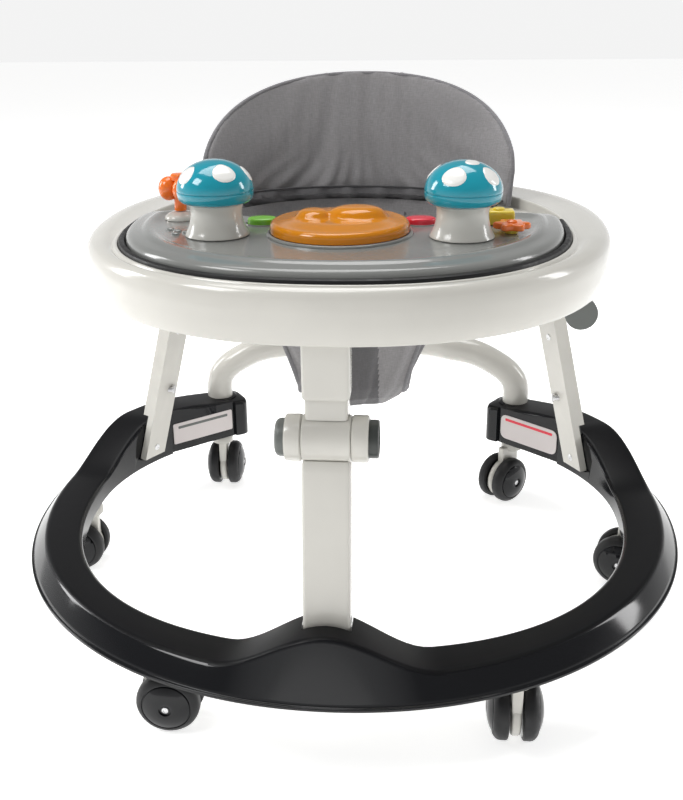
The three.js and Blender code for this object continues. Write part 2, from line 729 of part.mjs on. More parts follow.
// The toy tray's outline: it follows the recess in front and curves round the seat hole behind.
function toyOutline(inset) {
  const rearLine = TOY_REAR - inset;
  const shape = { ...RECESS, across: RECESS.across - inset, front: RECESS.front - inset };
  const steps = 60;
  const outline = [];
  for (let i = 0; i <= steps; i += 1) {
    const angle = radians(45 - (270 * i) / steps);
    const along = angle < 0 && angle > -Math.PI ? shape.front : shape.rear;
    const radius = reach(angle, shape.across, along, shape.power);
    const y = RECESS.y + radius * Math.sin(angle);
    if (y < rearLine) outline.push([radius * Math.cos(angle), y]);
  }
  const side = -outline.at(-1)[0];
  const rearSteps = 20;
  const clearance = 7 + inset;
  for (let i = 0; i <= rearSteps; i += 1) {
    const x = -side + (2 * side * i) / rearSteps;
    const across = Math.min(1, Math.abs(x) / (SEAT_HOLE.across + clearance));
    const edge = SEAT_HOLE.y - (SEAT_HOLE.front + clearance) * Math.sqrt(1 - across ** 2);
    outline.push([x, Math.min(rearLine, edge)]);
  }
  return outline;
}

const SEAL = { outer: 1, width: 4 };

// The black seal between the rim and the toy tray, open behind.
function gasket() {
  const { outer, width } = SEAL;
  const [low, high] = [DECK_TOP + GAP, TRAY_TOP + 1.5];
  const ring = cut(
    prism(outlineOf(RECESS, outer, 56), low, high),
    prism(outlineOf(RECESS, outer + width, 56), low - 1, high + 1),
  );
  return cut(ring, block([-200, TOY_REAR - 3, low - 1], [200, 200, high + 1]));
}

const MUSHROOM = { x: 91, y: -138, neck: 18, foot: 24, stem: 24, cap: 28.5, capHeight: 31 };
const DOME = { y: -127, radius: 52.5, rim: 9, crown: 14 };
const TOY_BUTTONS = {
  green: { x: -63, y: -97, across: 12, along: 9 },
  red: { x: 60, y: -92, across: 12, along: 9 },
};
const SPINNER = { x: -132, y: -80, radius: 17 };
const FLOWER = { x: 128, y: -124, radius: 14 };
const TOY_BLOCK = { x: 120, y: -92 };

function toyTray() {
  const low = prism(toyOutline(SEAL.outer + SEAL.width + 1), DECK_TOP + GAP, TOY_RIM_TOP);
  const high = prism(toyOutline(13), TOY_RIM_TOP - 1, TOY_TOP);
  const wells = Object.values(TOY_BUTTONS).map(({ x, y, across, along }) =>
    prism(ellipse(x, y, across + 0.5, along + 0.5), TOY_TOP - 8, TOY_TOP + 1),
  );
  return cut(join(low, high), ...wells);
}

// A push button that stands proud of its well.
function toyButton({ x, y, across, along }) {
  return join(
    prism(ellipse(x, y, across, along), TOY_TOP - 4, TOY_TOP + 3),
    prism(ellipse(x, y, across - 1.5, along - 1.5), TOY_TOP + 2, TOY_TOP + 4.5),
  );
}

function mushroomStem(side) {
  const { x, y, neck, foot, stem } = MUSHROOM;
  const z = TOY_TOP + GAP;
  const profile = [
    [0, z],
    [foot, z],
    [foot, z + 2],
    [neck + 1, z + 9],
    [neck, z + 16],
    [neck, z + stem],
    [7, z + stem],
    [7, z + stem + 8],
    [0, z + stem + 8],
  ];
  return turned(profile, side * x, y, 24);
}

function mushroomCap(side) {
  const { x, y, stem, cap, capHeight } = MUSHROOM;
  const z = TOY_TOP + 2 * GAP + stem;
  const profile = [
    [0, z],
    [cap - 6, z],
    [cap - 1, z + 4],
    [cap, z + 9],
    [cap - 1.5, z + 15],
    [cap - 6, z + 21],
    [cap - 13, z + 27],
    [cap - 21, z + capHeight - 1],
    [0, z + capHeight],
  ];
  const bore = barZ(7 + GAP, z - 1, z + 9, side * x, y);
  return cut(turned(profile, side * x, y, 24), bore);
}

// The amber lamp cover: a round lens with two soft raised ovals on it.
function dome() {
  const z = TOY_TOP + GAP;
  const { y, radius, rim, crown } = DOME;
  const lens = turned(
    [
      [0, z],
      [radius, z],
      [radius, z + rim - 3],
      [radius - 3, z + rim],
      [radius - 16, z + crown - 1.5],
      [0, z + crown],
    ],
    0,
    y,
    28,
  );
  const raised = (x, depth, across, along, top) => {
    const bump = new THREE.SphereGeometry(1, 14, 6);
    bump.rotateX(Math.PI / 2).scale(across, along, top - z - 5).translate(x, y + depth, z + 5);
    return solid(bump).trimByPlane([0, 0, 1], z + 2);
  };
  return join(lens, raised(-18, 2, 15, 17, z + 19), raised(15, 4, 27, 21, z + 19.5));
}

// A petal outline round a centre.
function petals(x, y, radius, count, depth, steps = 36) {
  return Array.from({ length: steps }, (_, i) => {
    const angle = (2 * Math.PI * i) / steps;
    const reachOut = radius - depth * (0.5 - 0.5 * Math.cos(count * angle));
    return [x + reachOut * Math.cos(angle), y + reachOut * Math.sin(angle)];
  });
}

function addToys() {
  for (const [name, side] of SIDES) {
    add(`mushroom_stem_${name}`, mushroomStem(side), "white");
    add(`mushroom_cap_${name}`, mushroomCap(side), "teal");
  }
  add("lamp_dome", dome(), "amber");
  for (const [name, spot] of Object.entries(TOY_BUTTONS)) add(`button_${name}`, toyButton(spot), name);
  const z = TOY_TOP + GAP;
  const { x, y, radius } = SPINNER;
  add("spinner_base", turned([[0, z], [13, z], [12, z + 3], [7, z + 6], [0, z + 6.5]], x, y), "grey");
  const stem = barZ(4, z + 6.5 + GAP, z + 32, x, y, 20);
  const blades = prism(petals(x, y, radius, 3, 9), z + 28, z + 36);
  add("spinner", join(stem, blades), "orange");
  const pad = barZ(5, z, z + 3, FLOWER.x, FLOWER.y, 20);
  add("flower_hub", pad, "yellow");
  const flower = prism(petals(FLOWER.x, FLOWER.y, FLOWER.radius, 6, 4), z + 3 + GAP, z + 8);
  add("flower_gear", flower, "orange");
  const corner = { x: TOY_BLOCK.x, y: TOY_BLOCK.y };
  add("toy_block", block([corner.x - 12, corner.y - 8, z], [corner.x + 12, corner.y + 8, z + 11]), "yellow");
}

const BUMPER = { x: 184, y: -120, z: 306, radius: 12.5 };

// The round stop on a stalk under the right side of the tray.
function bumper() {
  const { x, y, z, radius } = BUMPER;
  const face = solid(new THREE.CylinderGeometry(radius, radius, 8, 28).translate(x, y, z));
  return join(face, block([x - 5, y - 4, z], [x + 5, y + 4, DECK_UNDER - GAP]));
}

// ---- Seat ---------------------------------------------------------------------------------

const BACKREST = { y: 20, across: 152, along: 123, thickness: 12, bottom: 352, top: 466, edge: 385 };
const BACKREST_LEAN = 0.28;
const BACKREST_REACH = 72; // degrees each way from straight back

// The height of the backrest's top edge at an angle from straight back, in degrees.
function backrestTop(degrees) {
  const share = Math.min(1, Math.abs(degrees) / BACKREST_REACH);
  return BACKREST.edge + (BACKREST.top - BACKREST.edge) * (1 - share ** 2.2) ** 0.7;
}

// A padded shell bent round the back of the seat hole, leaning out as it rises.
function backrest() {
  const { across, along, thickness, bottom, y } = BACKREST;
  const sections = [];
  const steps = 32;
  for (let i = 0; i <= steps; i += 1) {
    const degrees = -BACKREST_REACH + (2 * BACKREST_REACH * i) / steps;
    const angle = Math.PI / 2 - radians(degrees);
    const top = backrestTop(degrees);
    const at = (inset, z) => {
      const lean = BACKREST_LEAN * (z - bottom);
      return [
        (across - inset + lean * 0.3) * Math.cos(angle),
        y + (along - inset + lean) * Math.sin(angle),
        z,
      ];
    };
    const middle = (bottom + top) / 2;
    sections.push([
      at(0, bottom),
      at(0, middle),
      at(0, top - 4),
      at(thickness * 0.35, top),
      at(thickness * 0.65, top),
      at(thickness, top - 4),
      at(thickness, middle),
      at(thickness, bottom),
    ]);
  }
  return loft(sections);
}

const SLING = [
  // height, share of the hole's size, how far the middle has moved forwards
  { z: 346, share: 0.996, forward: 0 },
  { z: 310, share: 0.92, forward: 3 },
  { z: 270, share: 0.8, forward: 10 },
  { z: 235, share: 0.64, forward: 20 },
  { z: 205, share: 0.46, forward: 28 },
  { z: 185, share: 0.28, forward: 32 },
];
const SLING_THICKNESS = 4;
const SLING_BOTTOM = 174;

// One level of the fabric bucket.
function slingLevel({ z, share, forward }, inset, rise) {
  const steps = 24;
  return Array.from({ length: steps }, (_, i) => {
    const angle = (2 * Math.PI * i) / steps;
    return [
      (SEAT_HOLE.across * share - inset) * Math.cos(angle),
      SEAT_HOLE.y - forward + (SEAT_HOLE.rear * share - inset) * Math.sin(angle),
      z + rise,
    ];
  });
}

// The fabric bucket that hangs in the seat hole, with a hole for each of the child's legs.
function seatSling() {
  const outside = SLING.map((level) => slingLevel(level, 0, 0));
  const inside = SLING.map((level, i) => slingLevel(level, SLING_THICKNESS, i ? SLING_THICKNESS : 0));
  const bucket = loftToTip([...outside.reverse(), ...inside], [0, SEAT_HOLE.y - 34, SLING_BOTTOM]);
  const cutters = SIDES.map(([, side]) => {
    const hole = new THREE.SphereGeometry(1, 20, 12);
    hole.rotateX(Math.PI / 2).scale(90, 62, 62).translate(side * 142, SEAT_HOLE.y - 30, 240);
    return solid(hole);
  });
  return cut(bucket, ...cutters);
}

// A skin from the outer bottom tip up over the rim and down to the inner bottom tip.
function loftToTip(sections, [x, y, z]) {
  const count = sections[0].length;
  const positions = [[x, y, z], ...sections.flat(), [x, y, z + SLING_THICKNESS]];
  const lastPoint = positions.length - 1;
  const index = [];
  for (let p = 0; p < count; p += 1) {
    const q = (p + 1) % count;
    index.push(0, 1 + q, 1 + p);
    for (let s = 0; s < sections.length - 1; s += 1) {
      const low = 1 + s * count;
      index.push(low + p, low + q, low + count + q);
      index.push(low + p, low + count + q, low + count + p);
    }
    const end = 1 + (sections.length - 1) * count;
    index.push(end + p, end + q, lastPoint);
  }
  const geometry = new THREE.BufferGeometry();
  geometry.setAttribute("position", new THREE.Float32BufferAttribute(positions.flat(), 3));
  geometry.setIndex(index);
  return solid(geometry);
}

// ---- Assembly -----------------------------------------------------------------------------

add("base_ring", baseRing(), "black");
add("rear_tube", rearTube(), "white");
for (const [name, side] of SIDES) {
  const slab = labelSlab(GAP, GAP + LABEL.depth, LABEL.bottom, LABEL.top, LABEL.halfLength);
  add(`label_${name}`, onSide(slab, side), "label");
}
addCasters();
addColumn();
addLegs();
add("tray_ring", trayRing(), "white");
add("tray_gasket", gasket(), "rubber");
add("toy_tray", toyTray(), "grey");
addToys();
add("tray_bumper", bumper(), "darkGrey");
add("seat_backrest", backrest(), "fabric");
add("seat_sling", seatSling(), "fabric");

export default group;
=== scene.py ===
import math

import bmesh
import bpy
from mathutils import Matrix, Vector


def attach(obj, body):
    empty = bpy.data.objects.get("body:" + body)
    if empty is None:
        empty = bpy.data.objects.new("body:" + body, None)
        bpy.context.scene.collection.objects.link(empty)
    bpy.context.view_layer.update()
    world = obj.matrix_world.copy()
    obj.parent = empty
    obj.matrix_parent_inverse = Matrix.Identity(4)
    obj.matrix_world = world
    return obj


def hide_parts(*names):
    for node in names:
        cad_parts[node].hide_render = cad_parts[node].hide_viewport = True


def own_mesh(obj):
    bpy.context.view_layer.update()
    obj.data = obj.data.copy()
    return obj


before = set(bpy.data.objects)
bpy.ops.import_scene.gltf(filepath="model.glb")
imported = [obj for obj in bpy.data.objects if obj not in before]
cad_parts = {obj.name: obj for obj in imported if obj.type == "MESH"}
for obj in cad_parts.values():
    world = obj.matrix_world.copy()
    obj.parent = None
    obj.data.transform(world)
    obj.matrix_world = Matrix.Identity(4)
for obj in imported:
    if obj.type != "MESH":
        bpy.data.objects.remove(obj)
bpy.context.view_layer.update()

# Baby walker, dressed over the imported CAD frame. Sizes below are millimetres, measured from the
# base ring's centre; row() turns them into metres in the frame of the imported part.
MM = 0.001
RING_CENTRE_Y = 31.5

FLOOR_COLOUR = (0.86, 0.86, 0.85)
CAMERA = {"at": (66.3, -890.6, 532.2), "yaw": -0.0867, "pitch": 0.3724, "roll": -0.0103, "lens": 46.3}

RING_INNER = {"across": 250, "front": 251, "rear": 216, "power": 2.3}
RING_OUTER = {"across": 300, "front": 305, "rear": 276, "power": 2.05}
RING_BOTTOM = 68
RING_LOW_TOP = 87
RING_DRAFT = 14
RING_END = 54.5
BASE_PIVOT = (0, -260, 106)
KNEE = (0, -243, 250)
TRAY = {"y": -17, "across": 211, "front": 239, "rear": 214, "power": 2.2}
RECESS = {"y": -69, "across": 178, "front": 178, "rear": 215, "power": 2.25}
SEAT_HOLE = {"y": 38, "across": 128, "front": 104, "rear": 104, "power": 2}
TRAY_BOTTOM, TRAY_TOP, DECK_TOP, DECK_UNDER = 320, 360, 350, 346.5
TOY_TOP = 368
TOY_REAR = -32
TRAIL, WHEEL_RADIUS = 13, 25
CASTERS = {
    "front_left": (-140, -236, -90),
    "front_right": (140, -246, 0),
    "side_left": (-262, 0, 90),
    "side_right": (272, 0, 70),
    "rear_left": (-165, 185, 0),
    "rear_right": (165, 185, 135),
}
SIDES = (("left", -1), ("right", 1))


def row(point):
    x, y, z = point
    return Vector((x * MM, (y + RING_CENTRE_Y) * MM, z * MM))


# ---- Materials ----------------------------------------------------------------------------


class Nodes:
    """A short way to add shader nodes and links to one material."""

    def __init__(self, name):
        self.material = bpy.data.materials.new(name)
        self.material.use_nodes = True
        self.tree = self.material.node_tree
        self.shader = self.tree.nodes["Principled BSDF"]
        self.place = self.add("ShaderNodeTexCoord").outputs["Object"]

    def add(self, kind, inputs=None, **settings):
        made = self.tree.nodes.new(kind)
        for key, value in settings.items():
            setattr(made, key, value)
        for key, value in (inputs or {}).items():
            if isinstance(value, bpy.types.NodeSocket):
                self.tree.links.new(value, made.inputs[key])
            else:
                made.inputs[key].default_value = value
        return made

    def noise(self, scale, detail=3.0, vector=None):
        inputs = {"Vector": vector or self.place, "Scale": scale, "Detail": detail}
        return self.add("ShaderNodeTexNoise", inputs).outputs["Fac"]

    def math(self, operation, a, b=0.0):
        return self.add("ShaderNodeMath", {0: a, 1: b}, operation=operation).outputs[0]

    def spread(self, value, low, high, start=0.3, end=0.7):
        inputs = {"Value": value, "From Min": start, "From Max": end, "To Min": low, "To Max": high}
        return self.add("ShaderNodeMapRange", inputs).outputs["Result"]

    def mix(self, share, a, b):
        made = self.add("ShaderNodeMix", {0: share}, data_type="RGBA")
        for index, value in ((6, a), (7, b)):
            if isinstance(value, bpy.types.NodeSocket):
                self.tree.links.new(value, made.inputs[index])
            else:
                made.inputs[index].default_value = (*value, 1)
        return made.outputs[2]

    def link(self, value, socket):
        self.tree.links.new(value, self.shader.inputs[socket])

    def bump(self, height, strength, distance, under=None):
        inputs = {"Height": height, "Strength": strength, "Distance": distance}
        if under is not None:
            inputs["Normal"] = under
        return self.add("ShaderNodeBump", inputs).outputs["Normal"]


def shade(colour, share):
    return tuple(min(1.0, channel * share) for channel in colour)


def plastic(name, colour, roughness, coat=0.0, wear=0.15, clear=0.0, grain=0.06, shine=0.5):
    """Moulded plastic: slight colour drift, uneven gloss, fine grain and paler worn edges."""
    m = Nodes(name)
    drift = m.mix(m.spread(m.noise(9), 0, 1), shade(colour, 0.94), shade(colour, 1.05))
    pointed = m.add("ShaderNodeNewGeometry").outputs["Pointiness"]
    edge = m.math("MULTIPLY", m.spread(pointed, 0, wear, 0.53, 0.62), m.spread(m.noise(60), 0.3, 1))
    m.link(m.mix(edge, drift, shade(colour, 1.5)), "Base Color")
    m.link(m.spread(m.noise(45, 5), roughness * 0.92, roughness * 1.1), "Roughness")
    flow = m.bump(m.noise(9, 1), 0.025, 0.002)
    m.link(m.bump(m.noise(1400, 2), grain, 0.0002, flow), "Normal")
    m.shader.inputs["Coat Weight"].default_value = coat
    m.shader.inputs["Coat Roughness"].default_value = 0.06
    m.shader.inputs["Transmission Weight"].default_value = clear
    m.shader.inputs["IOR"].default_value = 1.46
    m.shader.inputs["Specular IOR Level"].default_value = shine
    return m.material


def metal(name, colour, roughness):
    m = Nodes(name)
    streak = m.noise(160, 4, m.add("ShaderNodeMapping", {"Vector": m.place, "Scale": (1, 8, 8)}).outputs[0])
    m.link(m.mix(streak, shade(colour, 0.8), colour), "Base Color")
    m.link(m.spread(streak, roughness * 0.7, roughness * 1.4), "Roughness")
    m.shader.inputs["Metallic"].default_value = 1.0
    return m.material


def rubber(name, colour):
    m = Nodes(name)
    m.link(m.mix(m.noise(80), shade(colour, 0.8), shade(colour, 1.5)), "Base Color")
    m.link(m.spread(m.noise(200), 0.34, 0.55), "Roughness")
    m.link(m.bump(m.noise(900), 0.15, 0.0003), "Normal")
    m.shader.inputs["Specular IOR Level"].default_value = 0.35
    return m.material


def fabric(name, colour, thread=1.5, sheen=0.35):
    """Plain-woven heather cloth. Threads run round the seat and up it."""
    m = Nodes(name)
    split = m.add("ShaderNodeSeparateXYZ", {"Vector": m.place}).outputs
    behind = m.math("SUBTRACT", split["Y"], 0.065)
    around = m.math("MULTIPLY", m.math("ARCTAN2", behind, split["X"]), 0.13)
    turn = 2 * math.pi / (thread * MM)
    warp = m.math("SINE", m.math("MULTIPLY", around, turn))
    weft = m.math("SINE", m.math("MULTIPLY", split["Z"], turn))
    weave = m.math("MULTIPLY", warp, weft)
    threads = m.add("ShaderNodeCombineXYZ", {"X": around, "Y": split["Z"], "Z": 0.0}).outputs[0]
    lengthwise = m.add("ShaderNodeMapping", {"Vector": threads, "Scale": (1, 0.16, 1)}).outputs[0]
    crosswise = m.add("ShaderNodeMapping", {"Vector": threads, "Scale": (0.16, 1, 1)}).outputs[0]
    heather = m.math("ADD", m.noise(950, 2, lengthwise), m.noise(950, 2, crosswise))
    speckled = m.mix(m.spread(heather, 0, 1, 0.75, 1.25), shade(colour, 0.84), shade(colour, 1.16))
    tone = m.mix(m.spread(m.noise(9, 2), 0, 0.45), speckled, shade(colour, 0.66))
    m.link(m.mix(m.spread(weave, 0, 0.18, -1, 1), tone, shade(colour, 1.6)), "Base Color")
    m.link(m.spread(m.noise(300), 0.82, 0.97), "Roughness")
    soft = m.bump(m.noise(60, 4), 0.25, 0.0016)
    m.link(m.bump(weave, 0.35, 0.0003, soft), "Normal")
    m.shader.inputs["Sheen Weight"].default_value = sheen
    m.shader.inputs["Sheen Roughness"].default_value = 0.45
    return m.material


WHITE = plastic("white_plastic", (0.60, 0.585, 0.54), 0.2, coat=0.4)
BLACK = plastic("black_plastic", (0.0042, 0.0046, 0.006), 0.11, wear=0.3, grain=0.03, shine=0.45)
BLACK_SATIN = plastic("black_satin", (0.0065, 0.0065, 0.0075), 0.33, wear=0.3, shine=0.16)
TOY_GREY = plastic("toy_grey_plastic", (0.215, 0.22, 0.21), 0.2, coat=0.35)
DARK_GREY = plastic("dark_grey_plastic", (0.13, 0.14, 0.132), 0.35)
SHADE_GREY = plastic("shade_grey_plastic", (0.045, 0.05, 0.047), 0.28)
TEAL = plastic("teal_plastic", (0.003, 0.285, 0.375), 0.13, coat=0.6)
DOT_WHITE = plastic("dot_paint", (0.84, 0.83, 0.80), 0.2, coat=0.5)
ORANGE = plastic("orange_plastic", (0.86, 0.17, 0.012), 0.2, coat=0.4)
AMBER = plastic("amber_plastic", (0.82, 0.30, 0.001), 0.08, coat=0.2, clear=0.3)
GREEN = plastic("green_plastic", (0.19, 0.56, 0.03), 0.22, coat=0.4)
RED = plastic("red_plastic", (0.70, 0.02, 0.045), 0.22, coat=0.4)
YELLOW = plastic("yellow_plastic", (0.80, 0.60, 0.05), 0.22, coat=0.4)
LABEL = plastic("label_film", (0.66, 0.61, 0.60), 0.42, wear=0.0)
STEEL = metal("steel", (0.80, 0.80, 0.81), 0.3)
SEAL = rubber("seal_rubber", (0.004, 0.004, 0.0045))
TYRE = rubber("tyre_rubber", (0.014, 0.014, 0.015))
CLOTH = fabric("seat_cloth", (0.262, 0.254, 0.258))
CLOTH_DARK = fabric("seat_cloth_dark", (0.105, 0.102, 0.106))
PIPING = fabric("piping_cloth", (0.21, 0.205, 0.215), thread=1.0)
SEAM = fabric("seam_cloth", (0.045, 0.044, 0.047), thread=1.0)


# ---- Mesh helpers -------------------------------------------------------------------------


def loft(sections, closed=False):
    """A skin over sections with equal numbers of points. Open lofts get flat ends."""
    count = len(sections[0])
    faces = []
    for s in range(len(sections) if closed else len(sections) - 1):
        here, there = s * count, ((s + 1) % len(sections)) * count
        for p in range(count):
            q = (p + 1) % count
            faces.append((here + p, here + q, there + q, there + p))
    if not closed:
        faces.append(tuple(range(count)))
        faces.append(tuple(range((len(sections) - 1) * count, len(sections) * count)))
    return [point for section in sections for point in section], faces


def merge(*parts):
    points, faces = [], []
    for part_points, part_faces in parts:
        start = len(points)
        points += part_points
        faces += [tuple(i + start for i in face) for face in part_faces]
    return points, faces


def moved(part, change):
    return [change(Vector(p)) for p in part[0]], part[1]


def fillet(outline, radii, steps=3):
    """A closed 2-D outline with its corners rounded, steps + 1 points to each corner."""
    count = len(outline)
    if not isinstance(radii, (list, tuple)):
        radii = [radii] * count
    made = []
    for i, corner in enumerate(outline):
        here = Vector(corner)
        before, after = Vector(outline[i - 1]) - here, Vector(outline[(i + 1) % count]) - here
        reach_back = min(radii[i], before.length * 0.45)
        reach_on = min(radii[i], after.length * 0.45)
        start, end = here + before.normalized() * reach_back, here + after.normalized() * reach_on
        for step in range(steps + 1):
            t = step / steps
            made.append(start * (1 - t) ** 2 + here * 2 * t * (1 - t) + end * t ** 2)
    return [tuple(p) for p in made]


def revolve(profile, centre, axis=(0, 0, 1), steps=56, closed=False):
    """A profile of (radius, height) turned about an axis through centre."""
    up = Vector(axis).normalized()
    side = up.orthogonal().normalized()
    other = up.cross(side)
    sections = []
    for i in range(steps):
        angle = 2 * math.pi * i / steps
        out = side * math.cos(angle) + other * math.sin(angle)
        sections.append([tuple(Vector(centre) + out * r + up * h) for r, h in profile])
    points, faces = loft(sections, closed=True)
    if not closed:
        count = len(profile)
        last = count - 1
        faces = [f for f in faces if not {f[0] % count, f[1] % count} == {0, last}]
    return points, faces


def sweep(path, radius, sides=16, closed=False):
    """A round cord of one radius, or a radius per point, along a path."""
    points = [Vector(p) for p in path]
    count = len(points)
    normal = (points[1] - points[0]).orthogonal().normalized()
    sections = []
    for i, point in enumerate(points):
        back = points[i - 1] if i or closed else point
        ahead = points[(i + 1) % count] if i < count - 1 or closed else point
        along = (ahead - back).normalized()
        normal = (normal - along * normal.dot(along)).normalized()
        other = along.cross(normal)
        size = radius[i] if isinstance(radius, (list, tuple)) else radius
        turn = [2 * math.pi * k / sides for k in range(sides)]
        sections.append([tuple(point + (normal * math.cos(a) + other * math.sin(a)) * size) for a in turn])
    return loft(sections, closed)


def smooth_path(controls, per_span=10):
    """A Catmull-Rom curve through control points."""
    points = [Vector(c) for c in controls]
    padded = [points[0] * 2 - points[1], *points, points[-1] * 2 - points[-2]]
    made = []
    for i in range(1, len(padded) - 2):
        a, b, c, d = padded[i - 1 : i + 3]
        for step in range(per_span):
            t = step / per_span
            point = 2 * b + (c - a) * t
            point = point + (2 * a - 5 * b + 4 * c - d) * t ** 2
            made.append(0.5 * (point + (3 * b - a - 3 * c + d) * t ** 3))
    return made + [points[-1]]


def block(low, high, radius, steps=3):
    """A box with rounded edges."""
    bm = bmesh.new()
    bmesh.ops.create_cube(bm, size=1)
    size = Vector(high) - Vector(low)
    middle = (Vector(high) + Vector(low)) / 2
    for vertex in bm.verts:
        vertex.co = middle + Vector(v * s for v, s in zip(vertex.co, size))
    bmesh.ops.bevel(bm, geom=list(bm.edges), offset=radius, segments=steps, affect="EDGES", profile=0.5)
    bm.verts.index_update()
    part = [tuple(v.co) for v in bm.verts], [tuple(v.index for v in f.verts) for f in bm.faces]
    bm.free()
    return part


def pillow(outline, low, high, radius, steps=4, foot=0.0):
    """An outline pulled up, with its top edge rounded towards its middle."""
    count = len(outline)
    cx = sum(p[0] for p in outline) / count
    cy = sum(p[1] for p in outline) / count
    size = min(math.hypot(x - cx, y - cy) for x, y in outline)
    levels = [(foot, low), (0.0, low + max(foot, 0.01)), (0.0, high - radius)]
    for i in range(1, steps + 1):
        turn = math.pi / 2 * i / steps
        levels.append((radius * (1 - math.cos(turn)), high - radius + radius * math.sin(turn)))
    sections = []
    for inset, z in levels:
        scale = 1 - inset / size
        sections.append([(cx + (x - cx) * scale, cy + (y - cy) * scale, z) for x, y in outline])
    return loft(sections)


def mirrored(part, side):
    return part if side > 0 else ([(-p[0], p[1], p[2]) for p in part[0]], part[1])


def mesh_object(name, part, material):
    mesh = bpy.data.meshes.new(name)
    mesh.from_pydata([row(p) for p in part[0]], [], part[1])
    bm = bmesh.new()
    bm.from_mesh(mesh)
    bmesh.ops.remove_doubles(bm, verts=bm.verts, dist=2e-6)
    bmesh.ops.recalc_face_normals(bm, faces=bm.faces)
    bm.to_mesh(mesh)
    bm.free()
    mesh.materials.append(material)
    made = bpy.data.objects.new(name, mesh)
    bpy.context.scene.collection.objects.link(made)
    return made


def finish(made, body, nodes=(), sharp=38):
    made.data.shade_smooth()
    made.data.set_sharp_from_angle(angle=math.radians(sharp))
    if body:
        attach(made, body)
    if nodes:
        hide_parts(*nodes)
    return made


def piece(name, part, material, body, nodes=(), sharp=38):
    return finish(mesh_object(name, part, material), body, nodes, sharp)


def bake(made):
    """Applies the object's modifiers to its mesh."""
    evaluated = made.evaluated_get(bpy.context.evaluated_depsgraph_get())
    mesh = bpy.data.meshes.new_from_object(evaluated)
    made.modifiers.clear()
    made.data = mesh


def cut(made, part):
    """Takes a closed solid away from an object."""
    tool = mesh_object("cutter", part, made.data.materials[0])
    change = made.modifiers.new("cut", "BOOLEAN")
    change.operation = "DIFFERENCE"
    change.solver = "EXACT"
    change.object = tool
    bake(made)
    bpy.data.objects.remove(tool)


def paint(made, material, test):
    """Gives the faces whose middle, in millimetres, passes a test another material."""
    made.data.materials.append(material)
    index = len(made.data.materials) - 1
    for face in made.data.polygons:
        x, y, z = face.center / MM
        if test(x, y - RING_CENTRE_Y, z):
            face.material_index = index


def reach(angle, across, along, power):
    return (abs(math.cos(angle) / across) ** power + abs(math.sin(angle) / along) ** power) ** (-1 / power)


def oval_radius(angle, shape):
    return reach(angle, shape["across"], shape["front" if math.sin(angle) < 0 else "rear"], shape["power"])


def edge_radius(angle, shape, from_y):
    """The distance from 0, from_y to the edge of a rounded shape."""
    inside, outside = 0, 400
    for _ in range(36):
        radius = (inside + outside) / 2
        x, y = radius * math.cos(angle), from_y + radius * math.sin(angle) - shape["y"]
        along = shape["front" if y < 0 else "rear"]
        if abs(x / shape["across"]) ** shape["power"] + abs(y / along) ** shape["power"] < 1:
            inside = radius
        else:
            outside = radius
    return inside


def ease(value, start, end):
    t = min(1, max(0, (value - start) / (end - start)))
    return t * t * (3 - 2 * t)


def ellipse(x, y, across, along, steps=40):
    turns = [2 * math.pi * i / steps for i in range(steps)]
    return [(x + across * math.cos(a), y + along * math.sin(a)) for a in turns]


# ---- Base ---------------------------------------------------------------------------------


def ring_top(angle):
    sideways = math.degrees(math.asin(abs(math.cos(angle))))
    behind = math.degrees(math.asin(math.sin(angle)))
    front = 32 * (1 - ease(sideways, 0, 17)) if behind < 0 else 0
    return RING_LOW_TOP + front + 31 * ease(behind, 4, 25) - 9 * ease(behind, 30, RING_END)


def ring_section(angle, inset):
    shape_inner = dict(RING_INNER)
    shape_outer = dict(RING_OUTER)
    if math.sin(angle) >= 0:
        shape_inner["power"] = shape_outer["power"] = 2
    inner = oval_radius(angle, shape_inner) + inset
    outer = oval_radius(angle, shape_outer) - inset
    top = ring_top(angle) - inset * 0.12
    profile = [
        (inner, RING_BOTTOM), (outer, RING_BOTTOM), (outer, RING_BOTTOM + 2.6),
        (outer - 2.2, RING_BOTTOM + 3.0), (outer - 2.9, RING_BOTTOM + 4.6),
        (outer - RING_DRAFT + 0.5, top - 1.4), (outer - RING_DRAFT - 2.2, top + 0.1),
        (inner + 3.2, top - 0.7), (inner, top - 3.2),
    ]
    radii = [0.6, 0.8, 0.7, 0.5, 0.8, 1.8, 1.8, 1.4, 1.4]
    return [(r * math.cos(angle), r * math.sin(angle), z) for r, z in fillet(profile, radii)]


def ring_sections():
    corner, mean = 12, 256
    length = math.radians(180 + 2 * RING_END) * mean
    near = [0, 0.4, 1.2, 2.4, 4, 6, 8.5, 12]
    between = [12 + (length - 24) * i / 200 for i in range(1, 200)]
    marks = near + between + [length - s for s in reversed(near)]
    made = []
    for mark in marks:
        gap = min(corner, mark, length - mark)
        inset = corner - math.sqrt(corner ** 2 - (corner - gap) ** 2)
        made.append(ring_section(math.radians(RING_END) - mark / mean, inset))
    return made


LEG_FOOT = (219, 92.8, 80)
LEG_TURN = (0.504, 0.864)
LEG_LEAN = (-0.2266, 0.118)


def leg_point(u, v, z):
    """A point in the right leg's own directions: along the wall, out through it, and up."""
    across, along = LEG_TURN
    rise = z - LEG_FOOT[2]
    x = LEG_FOOT[0] - across * u + along * v + LEG_LEAN[0] * rise
    y = LEG_FOOT[1] + along * u + across * v + LEG_LEAN[1] * rise
    return Vector((x, y, z))


